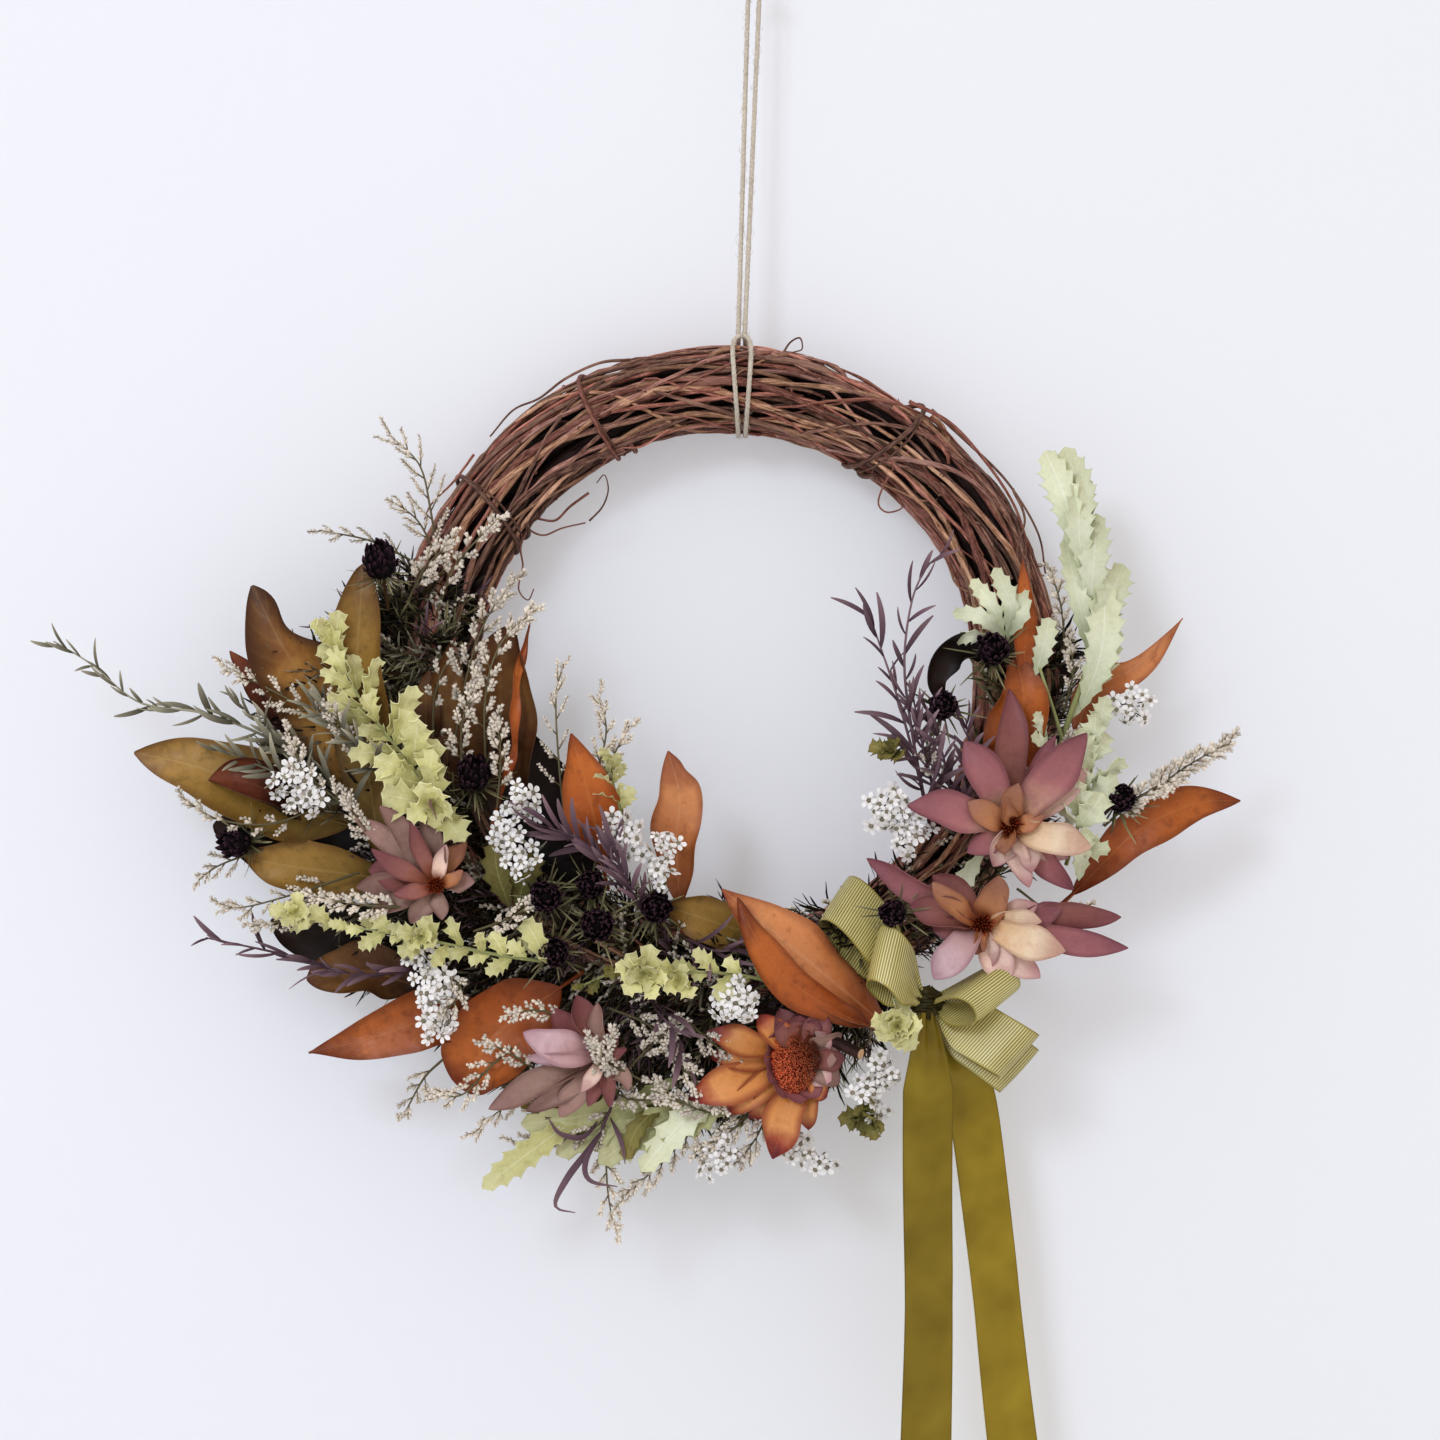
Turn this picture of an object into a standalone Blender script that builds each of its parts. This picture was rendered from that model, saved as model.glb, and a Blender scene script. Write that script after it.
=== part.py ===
"""Harvest door wreath: a grapevine ring on a jute hanger, with dried leaves, flowers and a ribbon bow.

Units are millimetres in the dimensions below and metres in the scene. X runs right, Z up, and the wreath
faces -Y, so that the door it hangs on is on the +Y side. The origin is the top of the hanger's eye, on the
inside, where the hook bears. Positions on the wreath are (x, z, depth): x and z from the ring's centre, and
depth from the ring's middle plane towards the viewer.
"""

from math import atan2, cos, hypot, pi, radians, sin

import bmesh
import bpy
from mathutils import Vector

MM = 0.001
GAP = 0.3
CURVE_STEPS = 20

# Grapevine ring
RING_X, RING_Z = -14.8, -390.0
RING_RADIUS = 153.5
BUNDLE_RADIUS = 22.6
STRAND_RADIUS = 5.4
STRANDS = 4
STRAND_TURNS = 3
STRAND_LAY = BUNDLE_RADIUS - STRAND_RADIUS
CORE_RADIUS = STRAND_LAY - STRAND_RADIUS - 3 * GAP
WRAP_RADIUS = 1.5
WRAP_ANGLES = (142, 112, 54)

# Jute hanger
TWINE = 2.6
HITCH_X = 8.4
HITCH_Z = (RING_RADIUS**2 - HITCH_X**2) ** 0.5
HITCH_RADIUS = BUNDLE_RADIUS + 0.5 + TWINE / 2
EYE_WIDTH, EYE_LENGTH = 11.0, 19.0
KNOT_RADIUS = 4.4
KNOT_Z = TWINE / 2 - EYE_LENGTH - KNOT_RADIUS
LEG_TOP_SPREAD, LEG_FOOT_SPREAD = 3.0, 1.75
LEG_FOOT_RISE, LEG_FOOT_DEPTH = 33.0, 6.0

# Ribbon
RIBBON_WIDTH = 30.0
RIBBON_THICK = 0.8
LOOP_ROOT_GAP = 1.7
TIE = (103, -166, 54)
TAIL_HINGE_GAP = 0.7
TAIL_LEFT_TOP, TAIL_LEFT_END = (104, -204, 52), (103, -424, 52)
TAIL_RIGHT_TOP, TAIL_RIGHT_END = (128.5, -222, 24), (155, -436, 24)
TAIL_YAW = 28

# Dried leaves and flowers
LEAF_THICK = 1.2
SPRIG_THICK = 1.4
BRACT_THICK = 1.6
LEAST_BRACT = 11.0
STEM_RADIUS = 1.2
STEM_CLEARANCE = 1.6
STALK_HEAD_RADIUS, STALK_FOOT_RADIUS = 3.0, 1.5
STALK_SIDES = 6


def on_wreath(x, z, depth):
    """World position, in metres, of a point given from the ring's centre."""
    return Vector((RING_X + x, -depth, RING_Z + z)) * MM


def ring_anchor(x, z):
    """The place on the bundle's front where the stem of a piece at (x, z) meets the ring."""
    turn = atan2(z, x)
    reach = BUNDLE_RADIUS - STEM_CLEARANCE
    across = max(-reach, min(reach, hypot(x, z) - RING_RADIUS))
    depth = ((BUNDLE_RADIUS + STEM_CLEARANCE) ** 2 - across**2) ** 0.5
    out = RING_RADIUS + across
    return out * cos(turn), out * sin(turn), depth


def material(name, color, roughness):
    made = bpy.data.materials.new(name)
    made.use_nodes = True
    shader = made.node_tree.nodes["Principled BSDF"]
    shader.inputs["Base Color"].default_value = (*color, 1.0)
    shader.inputs["Roughness"].default_value = roughness
    shader.inputs["Metallic"].default_value = 0.0
    return made


def new_object(name, data, look):
    color, roughness = look
    data.materials.append(material(f"{name}_look", color, roughness))
    made = bpy.data.objects.new(name, data)
    bpy.context.scene.collection.objects.link(made)
    return made


def mesh_object(name, shape, look, origin=None, smooth=False):
    """Turns a bmesh in world metres into an object whose origin is at the given point."""
    bmesh.ops.recalc_face_normals(shape, faces=shape.faces)
    origin = origin or Vector((0, 0, 0))
    bmesh.ops.translate(shape, verts=shape.verts, vec=-origin)
    mesh = bpy.data.meshes.new(name)
    shape.to_mesh(mesh)
    shape.free()
    if smooth:
        mesh.shade_smooth()
    made = new_object(name, mesh, look)
    made.location = origin
    return made


def tube(name, points, radius, look, sides_step=2, cyclic=False):
    """A round tube through world points, as a bevelled curve with filled caps."""
    curve = bpy.data.curves.new(name, "CURVE")
    curve.dimensions = "3D"
    curve.bevel_depth = radius * MM
    curve.bevel_resolution = sides_step
    curve.use_fill_caps = True
    spline = curve.splines.new("POLY")
    spline.points.add(len(points) - 1)
    for point, place in zip(spline.points, points):
        point.co = (*place, 1.0)
    spline.use_cyclic_u = cyclic
    return new_object(name, curve, look)


def smooth_route(stops, count):
    """Points at equal steps along a Catmull-Rom curve through the stops."""
    ends = [2 * stops[0] - stops[1], *stops, 2 * stops[-1] - stops[-2]]
    fine = []
    for a, b, c, d in zip(ends, ends[1:], ends[2:], ends[3:]):
        for step in range(CURVE_STEPS):
            t = step / CURVE_STEPS
            bend = 2 * a - 5 * b + 4 * c - d
            twist = 3 * b - a - 3 * c + d
            fine.append(0.5 * (2 * b + (c - a) * t + bend * t**2 + twist * t**3))
    fine.append(stops[-1])
    travelled = [0.0]
    for a, b in zip(fine, fine[1:]):
        travelled.append(travelled[-1] + (b - a).length)
    route = []
    at = 0
    for step in range(count):
        goal = travelled[-1] * step / (count - 1)
        while at < len(fine) - 2 and travelled[at + 1] < goal:
            at += 1
        span = travelled[at + 1] - travelled[at]
        route.append(fine[at].lerp(fine[at + 1], (goal - travelled[at]) / span))
    return route


def bridge_rings(shape, rings):
    """Quads between successive rings of vertices, each ring closed on itself."""
    for lower, upper in zip(rings, rings[1:]):
        count = len(lower)
        for k in range(count):
            after = (k + 1) % count
            shape.faces.new((lower[k], lower[after], upper[after], upper[k]))


# ---------------------------------------------------------------- the vine ring

VINE = ((0.16, 0.065, 0.03), 0.7)
VINE_LIGHT = ((0.32, 0.14, 0.055), 0.65)


def bundle_point(angle, lay, turn):
    """A point near the ring's bundle: lay is its distance from the bundle's middle, turn the angle round it."""
    out = RING_RADIUS + lay * cos(turn)
    return on_wreath(out * cos(angle), out * sin(angle), lay * sin(turn))


def vine_core():
    shape = bmesh.new()
    rings = []
    steps, sides = 44, 8
    for k in range(steps):
        angle = 2 * pi * k / steps
        turns = [2 * pi * s / sides for s in range(sides)]
        rings.append([shape.verts.new(bundle_point(angle, CORE_RADIUS, turn)) for turn in turns])
    bridge_rings(shape, [*rings, rings[0]])
    mesh_object("vine_core", shape, VINE, smooth=True)


def vine_strands():
    steps = 42
    for strand in range(STRANDS):
        start = 2 * pi * strand / STRANDS
        route = []
        for k in range(steps):
            angle = 2 * pi * k / steps
            route.append(bundle_point(angle, STRAND_LAY, start + STRAND_TURNS * angle))
        tube(f"vine_strand_{strand + 1}", route, STRAND_RADIUS, VINE_LIGHT, 1, cyclic=True)


def vine_wraps():
    steps = 18
    lay = BUNDLE_RADIUS + GAP + WRAP_RADIUS
    for number, degrees in enumerate(WRAP_ANGLES, 1):
        angle = radians(degrees)
        route = [bundle_point(angle, lay / cos(pi / steps), 2 * pi * k / steps) for k in range(steps)]
        tube(f"vine_wrap_{number}", route, WRAP_RADIUS, VINE, 0, cyclic=True)


# ---------------------------------------------------------------- the jute hanger

JUTE = ((0.62, 0.50, 0.34), 0.9)


def twine_eye():
    half = EYE_WIDTH / 2 - TWINE / 2
    foot = -EYE_LENGTH + TWINE / 2 + GAP
    stops = [
        Vector((-1.9, 0, foot)),
        Vector((-half, 0, foot * 0.55)),
        Vector((-half * 0.8, 0, -1.6)),
        Vector((0, 0, TWINE / 2)),
        Vector((half * 0.8, 0, -1.6)),
        Vector((half, 0, foot * 0.55)),
        Vector((1.9, 0, foot)),
    ]
    tube("twine_eye", smooth_route([stop * MM for stop in stops], 15), TWINE / 2, JUTE)


def twine_knot():
    shape = bmesh.new()
    bmesh.ops.create_uvsphere(shape, u_segments=10, v_segments=7, radius=KNOT_RADIUS * MM)
    bmesh.ops.translate(shape, verts=shape.verts, vec=Vector((0, 0, KNOT_Z)) * MM)
    mesh_object("twine_knot", shape, JUTE, smooth=True)


def hitch_point(side, rise, depth):
    return on_wreath(HITCH_X + side, HITCH_Z + rise, depth)


def around_bundle(side, degrees):
    """A point on the hitch: 0 degrees is the bundle's top, 90 its front, 180 its underside."""
    turn = radians(degrees)
    return hitch_point(side, HITCH_RADIUS * cos(turn), HITCH_RADIUS * sin(turn))


def twine_legs():
    top = KNOT_Z - KNOT_RADIUS - GAP
    for name, side in (("twine_leg_left", -1), ("twine_leg_right", 1)):
        head = Vector((side * LEG_TOP_SPREAD, 0, top)) * MM
        foot = hitch_point(side * LEG_FOOT_SPREAD, LEG_FOOT_RISE + 2 * GAP, LEG_FOOT_DEPTH)
        tube(name, smooth_route([head, head.lerp(foot, 0.5), foot], 26), TWINE / 2, JUTE)


def hitch_half(side):
    """Half of the lark's-head hitch, from the foot of one leg round the bundle to its shoulder."""
    return [
        hitch_point(side * LEG_FOOT_SPREAD, LEG_FOOT_RISE, LEG_FOOT_DEPTH),
        hitch_point(side * 1.75, 29.0, 5.4),
        hitch_point(side * 1.8, 26.0, 2.6),
        around_bundle(side * 1.9, -12),
        around_bundle(side * 2.0, -50),
        around_bundle(side * 2.0, -95),
        around_bundle(side * 2.0, -140),
        around_bundle(side * 1.8, 180),
        around_bundle(side * 2.2, 145),
        around_bundle(side * 3.2, 105),
        around_bundle(side * 4.4, 65),
        around_bundle(side * 4.8, 38),
        hitch_point(side * 3.9, 25.2, 11.6),
    ]


def twine_hitch():
    crossing = hitch_point(0, 27.6, 10.4)
    stops = [*hitch_half(-1), crossing, *reversed(hitch_half(1))]
    tube("twine_hitch", smooth_route(stops, 56), TWINE / 2, JUTE)


# ---------------------------------------------------------------- the ribbon bow

RIBBON = ((0.30, 0.24, 0.03), 0.45)


def strip(name, centres, sideways, look, thick=RIBBON_THICK, origin=None):
    """A flat strip through the centres, each with its half-width vector, closed at both ends."""
    shape = bmesh.new()
    rings = []
    last = len(centres) - 1
    for k, (centre, side) in enumerate(zip(centres, sideways)):
        along = centres[min(k + 1, last)] - centres[max(k - 1, 0)]
        up = along.cross(side).normalized() * thick * MM / 2
        corners = (centre - side - up, centre + side - up, centre + side + up, centre - side + up)
        rings.append([shape.verts.new(corner) for corner in corners])
    bridge_rings(shape, rings)
    shape.faces.new(rings[0])
    shape.faces.new(rings[-1])
    return mesh_object(name, shape, look, origin)


# name, root, tip, direction across the ribbon at the tip (x, z, depth), height of the loop
BOW_LOOPS = (
    ("ribbon_loop_upper_left", (94, -155, 38), (57, -119, 33), (0.45, 0.80, -0.40), 19),
    ("ribbon_loop_lower_left", (97, -164, 59), (77, -140, 67), (0.30, 0.93, -0.20), 15),
    ("ribbon_loop_upper_right", (112, -163, 58), (141, -169, 66), (0.62, 0.74, -0.26), 15),
    ("ribbon_loop_lower_right", (112, -170, 49), (151, -195, 50), (0.68, 0.73, 0.0), 10),
    ("ribbon_loop_rear_right", (111, -174, 37), (152, -204, 36), (0.68, 0.73, 0.0), 9),
)


def bow_loop(name, root, tip, across, height):
    """A teardrop loop of ribbon, pinched at its root, with its width turned as given at its tip."""
    root, tip = on_wreath(*root), on_wreath(*tip)
    reach = (tip - root) * 0.5
    across = Vector((across[0], -across[2], across[1])).normalized()
    lift = reach.cross(across).normalized() * height * MM / 2
    apart = lift.normalized() * LOOP_ROOT_GAP * MM / 2
    centres, sideways = [], []
    steps = 18
    for k in range(steps + 1):
        turn = pi * (0.12 + 1.76 * k / steps)
        bulge = sin(turn) * (1 - cos(turn)) / 1.3
        centres.append(root + reach * (1 - cos(turn)) - lift * bulge - apart * cos(turn / 2))
        spread = 0.45 + 0.55 * min(1.0, (1 - cos(turn)) / 1.1)
        sideways.append(across * RIBBON_WIDTH * MM / 2 * spread)
    strip(name, centres, sideways, RIBBON)


def ribbon_tie():
    """The gathered centre of the bow, a short roll that closes over the roots of the loops."""
    shape = bmesh.new()
    rings = []
    sides = 8
    for step, radius in ((-9, 3.4), (-6, 4.6), (0, 4.9), (6, 4.6), (9, 3.4)):
        ring = []
        for s in range(sides):
            turn = 2 * pi * s / sides
            place = (TIE[0] + radius * cos(turn), TIE[1] + step, TIE[2] + radius * 1.25 * sin(turn))
            ring.append(shape.verts.new(on_wreath(*place)))
        rings.append(ring)
    bridge_rings(shape, rings)
    shape.faces.new(rings[0])
    shape.faces.new(rings[-1])
    mesh_object("ribbon_tie", shape, RIBBON)


def tail(name, top, end, yaw, start_width, steps):
    """A hanging end of ribbon: its origin is the middle of its hinge line at the top."""
    top, end = on_wreath(*top), on_wreath(*end)
    along = (end - top).normalized()
    across = Vector((cos(radians(yaw)), sin(radians(yaw)), 0))
    across = (across - along * across.dot(along)).normalized()
    begin = top + along * TAIL_HINGE_GAP * MM
    centres = [begin.lerp(end, k / steps) for k in range(steps + 1)]
    sideways = []
    for k in range(steps + 1):
        share = start_width + (1 - start_width) * min(1.0, 4 * k / steps)
        sideways.append(across * RIBBON_WIDTH * MM / 2 * share)
    strip(name, centres, sideways, RIBBON, origin=top)


def tail_root(name, hinge, end, yaw, foot):
    """The short piece of ribbon between the bow's tie and a tail's hinge line."""
    hinge, end, foot = on_wreath(*hinge), on_wreath(*end), on_wreath(*foot)
    along = (end - hinge).normalized()
    across = Vector((cos(radians(yaw)), sin(radians(yaw)), 0))
    across = (across - along * across.dot(along)).normalized()
    stop = hinge - along * TAIL_HINGE_GAP * MM
    lead = stop - along * 6 * MM
    centres = smooth_route([foot, lead, stop], 5)
    sideways = [across * RIBBON_WIDTH * MM / 2 * share for share in (0.3, 0.42, 0.55, 0.7, 0.8)]
    strip(name, centres, sideways, RIBBON)


def ribbon_bow():
    for loop in BOW_LOOPS:
        bow_loop(*loop)
    ribbon_tie()
    tail_root("ribbon_root_left", TAIL_LEFT_TOP, TAIL_LEFT_END, TAIL_YAW, (103.5, -180, 57))
    tail_root("ribbon_root_right", TAIL_RIGHT_TOP, TAIL_RIGHT_END, TAIL_YAW, (111, -182, 30))
    tail("ribbon_tail_left", TAIL_LEFT_TOP, TAIL_LEFT_END, TAIL_YAW, 0.8, 10)
    tail("ribbon_tail_right", TAIL_RIGHT_TOP, TAIL_RIGHT_END, TAIL_YAW, 0.8, 10)


# ---------------------------------------------------------------- leaves, fronds and sprays


def blade_sides(spine):
    """A sideways direction at each spine point: across the blade as the viewer sees it."""
    forward = Vector((0, -1, 0))
    last = len(spine) - 1
    sides = [None] * len(spine)
    for k in range(last, -1, -1):
        along = (spine[min(k + 1, last)] - spine[max(k - 1, 0)]).normalized()
        side = along.cross(forward)
        if side.length < 0.5 and k < last:
            side = sides[k + 1] - along * along.dot(sides[k + 1])
        sides[k] = side.normalized()
    return sides


def frond(name, spine, half_width, look, fold=0.0, thick=LEAF_THICK):
    """A leaf-like blade: spine points from base to tip, half-widths along it, and its edges' forward fold."""
    shape = bmesh.new()
    last = len(spine) - 1
    rings = []
    for k, (centre, half, side) in enumerate(zip(spine, half_width, blade_sides(spine))):
        along = spine[min(k + 1, last)] - spine[max(k - 1, 0)]
        up = side.cross(along).normalized()
        edge = up * fold * MM * half / max(half_width)
        skin = up * thick * MM / 2
        corners = (
            centre - side * half * MM + edge - skin,
            centre - skin,
            centre + side * half * MM + edge - skin,
            centre + side * half * MM + edge + skin,
            centre + skin,
            centre - side * half * MM + edge + skin,
        )
        rings.append([shape.verts.new(corner) for corner in corners])
    bridge_rings(shape, rings)
    for ring in (rings[0], rings[-1]):
        a, b, c, d, e, f = ring
        shape.faces.new((a, b, e, f))
        shape.faces.new((b, c, d, e))
    return mesh_object(name, shape, look)


def arched(base, tip, bow, count):
    """Spine from base to tip, bowed sideways in its middle."""
    base, tip = on_wreath(*base), on_wreath(*tip)
    side = (tip - base).cross(Vector((0, -1, 0))).normalized()
    spine = []
    for k in range(count):
        t = k / (count - 1)
        spine.append(base.lerp(tip, t) + side * bow * 4 * t * (1 - t) * MM)
    return spine


MAGNOLIA_OCHRE = ((0.34, 0.20, 0.06), 0.5)
MAGNOLIA_BROWN = ((0.16, 0.07, 0.025), 0.5)
MAGNOLIA_ORANGE = ((0.45, 0.13, 0.025), 0.45)

# name, base, tip, width, sideways bow, fold of the edges, look
MAGNOLIA_LEAVES = (
    ("ochre_upright", (-168, -45, 32), (-188, 60, 36), 34, 5, 4, MAGNOLIA_OCHRE),
    ("brown_upper_left", (-196, -38, 26), (-246, 47, 24), 42, -6, 4, MAGNOLIA_BROWN),
    ("ochre_left", (-203, -66, 31), (-306, -37, 25), 36, -8, 4, MAGNOLIA_OCHRE),
    ("olive_lower_left", (-186, -98, 26), (-262, -93, 24), 36, -4, 3, MAGNOLIA_OCHRE),
    ("brown_upright", (-138, -55, 26), (-143, 18, 30), 26, 0, 3, MAGNOLIA_BROWN),
    ("orange_curled", (-118, -62, 38), (-104, 27, 46), 24, 4, 4, MAGNOLIA_ORANGE),
    ("dark_inner", (-72, -85, 26), (-105, -24, 28), 32, 0, 3, MAGNOLIA_BROWN),
    ("orange_inner_left", (-68, -106, 31), (-77, -30, 44), 28, 3, 4, MAGNOLIA_ORANGE),
    ("orange_inner_right", (-28, -118, 34), (-29, -38, 46), 26, -4, 4, MAGNOLIA_ORANGE),
    ("golden_inner", (-22, -150, 26), (14, -113, 30), 34, 4, 4, MAGNOLIA_OCHRE),
    ("orange_large", (74, -168, 46), (1, -108, 52), 44, 5, 5, MAGNOLIA_ORANGE),
    ("brown_lower_left", (-148, -160, 26), (-216, -157, 24), 30, 3, 3, MAGNOLIA_BROWN),
    ("orange_lower_left", (-122, -190, 26), (-216, -194, 24), 34, -4, 4, MAGNOLIA_ORANGE),
    ("orange_lower", (-84, -172, 34), (-149, -211, 32), 42, 4, 4, MAGNOLIA_ORANGE),
    ("orange_upper_right", (185, -14, 26), (237, 31, 24), 20, -4, 3, MAGNOLIA_ORANGE),
    ("orange_right", (176, -108, 30), (267, -61, 24), 30, 5, 4, MAGNOLIA_ORANGE),
    ("orange_right_inner", (155, -45, 36), (150, 40, 44), 26, 0, 4, MAGNOLIA_ORANGE),
)


def stalked(stops, half):
    """A spine and its half-widths with a thin stalk added, from the ring to the blade's base."""
    foot = on_wreath(*ring_anchor(*stops[0]))
    base = stops[1]
    return [foot, foot.lerp(base, 0.5), *stops[1:]], [STEM_RADIUS, STEM_RADIUS, *half]


def magnolia_leaves():
    count = 8
    for name, base, tip, width, bow, fold, look in MAGNOLIA_LEAVES:
        spine = arched(base, tip, bow, count)
        half = []
        for k in range(count):
            t = k / (count - 1)
            half.append(width / 2 * max(0.06, sin(pi * (0.04 + 0.93 * t**0.9)) ** 0.75))
        spine, half = stalked([base[:2], *spine], half)
        frond(f"magnolia_leaf_{name}", spine, half, look, fold)


SERRATED = ((0.42, 0.43, 0.19), 0.6)

# name, stops from base to tip, width, number of teeth on a side
SERRATED_SPRIGS = (
    ("upper_left", ((-150, -68, 50), (-160, -40, 48), (-176, -8, 46), (-202, 27, 42)), 26, 7),
    ("left", ((-98, -142, 46), (-140, -134, 44), (-185, -128, 40), (-229, -117, 34)), 22, 8),
    ("centre", ((12, -156, 52), (-10, -154, 54), (-32, -152, 54), (-53, -150, 50)), 26, 5),
    ("bottom", ((-18, -232, 34), (-50, -242, 32), (-90, -252, 30), (-124, -263, 28)), 28, 8),
    ("upper_right", ((190, 8, 35), (188, 40, 31), (179, 80, 26), (168, 117, 26)), 34, 7),
    ("right", ((186, -60, 44), (190, -40, 44), (196, -22, 42), (205, -2, 40)), 26, 5),
)


def toothed(width, teeth, depth):
    """Half-widths of a toothed blade: full at each tooth, cut back by the share depth between them."""
    half = [width * 0.12]
    for k in range(2 * teeth - 1):
        t = (k + 1) / (2 * teeth)
        swell = 0.65 + 0.35 * sin(pi * t)
        half.append(width / 2 * swell * (1.0 if k % 2 == 0 else 1 - depth))
    half.append(width * 0.05)
    return half


def serrated_sprigs():
    for name, stops, width, teeth in SERRATED_SPRIGS:
        half = toothed(width, teeth, 0.35)
        spine = smooth_route([on_wreath(*stop) for stop in stops], len(half))
        spine, half = stalked([stops[0][:2], *spine], half)
        frond(f"serrated_sprig_{name}", spine, half, SERRATED, fold=2, thick=SPRIG_THICK)


ROSEMARY_GREY = ((0.20, 0.20, 0.16), 0.8)
ROSEMARY_MAUVE = ((0.13, 0.085, 0.10), 0.8)

NARROW_SPRIGS = (
    (
        "narrow_leaf_sprig_left",
        ((-206, -44, 44), (-258, -18, 42), (-300, 0, 36), (-335, 14, 32), (-357, 13, 30)),
        34,
        9,
        ROSEMARY_GREY,
    ),
    (
        "narrow_leaf_sprig_right",
        ((104, -74, 38), (96, -30, 44), (92, 10, 46), (101, 50, 44), (126, 68, 40)),
        38,
        9,
        ROSEMARY_MAUVE,
    ),
)


def narrow_leaf_sprigs():
    for name, stops, width, pairs, look in NARROW_SPRIGS:
        half = toothed(width, pairs, 0.8)
        spine = smooth_route([on_wreath(*stop) for stop in stops], len(half))
        spine, half = stalked([stops[0][:2], *spine], half)
        frond(name, spine, half, look, fold=2, thick=SPRIG_THICK)


LIMONIUM = ((0.45, 0.42, 0.32), 0.85)

# name, base, tip, radius of the spray
LIMONIUM_SPRAYS = (
    ("limonium_spray_upper_left", (-128, -40, 56), (-122, 50, 52), 11),
    ("limonium_spray_bottom", (-22, -240, 44), (-58, -288, 40), 13),
)


def plume(name, base, tip, radius, look):
    """A tapering spray with a wavy outline on a thin stalk from the ring."""
    shape = bmesh.new()
    foot = on_wreath(*ring_anchor(*base[:2]))
    base, tip = on_wreath(*base), on_wreath(*tip)
    axis = (tip - base).normalized()
    side = axis.cross(Vector((0, -1, 0))).normalized()
    up = side.cross(axis)
    steps, sides = 8, 6
    places = [(foot, STEM_RADIUS), (foot.lerp(base, 0.5), STEM_RADIUS)]
    for k in range(steps + 1):
        t = k / steps
        swell = 0.16 + sin(pi * t**0.8) * (0.8 if k % 2 else 0.55)
        places.append((base.lerp(tip, t), radius * swell))
    rings = []
    for centre, swell in places:
        ring = []
        for s in range(sides):
            turn = 2 * pi * s / sides
            offset = side * cos(turn) + up * 0.7 * sin(turn)
            ring.append(shape.verts.new(centre + offset * swell * MM))
        rings.append(ring)
    bridge_rings(shape, rings)
    shape.faces.new(rings[0])
    shape.faces.new(rings[-1])
    mesh_object(name, shape, look)


# ---------------------------------------------------------------- flowers, daisies and seed heads

STALK = ((0.14, 0.07, 0.035), 0.8)
MAUVE = ((0.28, 0.12, 0.12), 0.55)
PINK_BROWN = ((0.34, 0.17, 0.13), 0.55)
PROTEA = ((0.52, 0.16, 0.04), 0.5)

# name, centre, bracts as (direction in degrees, length), dish depth, look
BRACT_FLOWERS = (
    (
        "leucadendron_right_upper",
        (145, -74, 60),
        (
            *((52, 62), (86, 76), (112, 48), (166, 52), (205, 34)),
            *((250, 30), (290, 30), (318, 46), (350, 42), (20, 34)),
        ),
        10,
        MAUVE,
    ),
    (
        "leucadendron_right_lower",
        (130, -127, 76),
        (
            *((6, 72), (350, 72), (322, 42), (285, 28), (232, 34)),
            *((190, 36), (150, 64), (118, 36), (84, 30), (40, 36)),
        ),
        10,
        PINK_BROWN,
    ),
    (
        "leucadendron_left",
        (-153, -112, 60),
        (
            *((150, 40), (125, 42), (100, 44), (76, 42), (45, 30)),
            *((10, 22), (330, 14), (270, 12), (210, 16), (180, 26)),
        ),
        12,
        PINK_BROWN,
    ),
    (
        "leucadendron_bottom",
        (-64, -190, 54),
        ((165, 42), (190, 40), (202, 58), (240, 22), (290, 18), (340, 22), (30, 22), (75, 26), (120, 30)),
        12,
        PINK_BROWN,
    ),
    (
        "protea",
        (36, -197, 66),
        (
            *((120, 32), (150, 34), (170, 52), (196, 58), (215, 44)),
            *((257, 46), (285, 34), (320, 22), (0, 21), (60, 22)),
        ),
        14,
        PROTEA,
    ),
)


def bract_outline(bracts):
    """Directions and lengths round a flower: a notch, a shoulder, a tip and a shoulder for each bract."""
    bracts = sorted((degrees, max(LEAST_BRACT, length)) for degrees, length in bracts)
    first, first_length = bracts[0]
    following = [*bracts[1:], (first + 360, first_length)]
    outline = []
    for (here, length), (after, next_length) in zip(bracts, following):
        gap = after - here
        outline.append((here, length))
        outline.append((here + 0.28 * gap, 0.68 * length))
        outline.append((here + 0.50 * gap, 0.42 * min(length, next_length)))
        outline.append((after - 0.28 * gap, 0.68 * next_length))
    return outline


def bract_flower(name, centre, bracts, dish, look):
    """A dish of pointed bracts round a raised middle, on a stalk."""
    shape = bmesh.new()
    outline = bract_outline(bracts)
    x, z, depth = centre

    def ring(share, level):
        made = []
        for degrees, length in outline:
            turn = radians(degrees)
            place = (x + length * share * cos(turn), z + length * share * sin(turn), depth + level)
            made.append(shape.verts.new(on_wreath(*place)))
        return made

    rings = [
        ring(0.5, dish * 0.35 - BRACT_THICK),
        ring(1.0, dish - BRACT_THICK * 0.4),
        ring(1.0, dish),
        ring(0.5, dish * 0.35),
    ]
    bridge_rings(shape, rings)
    back = shape.verts.new(on_wreath(x, z, depth - 7))
    front = shape.verts.new(on_wreath(x, z, depth + dish * 0.45))
    count = len(outline)
    for k in range(count):
        after = (k + 1) % count
        shape.faces.new((rings[0][k], rings[0][after], back))
        shape.faces.new((rings[-1][after], rings[-1][k], front))
    flower = mesh_object(name, shape, look)
    add_stalk(flower, (x, z, depth - 3))


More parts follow.
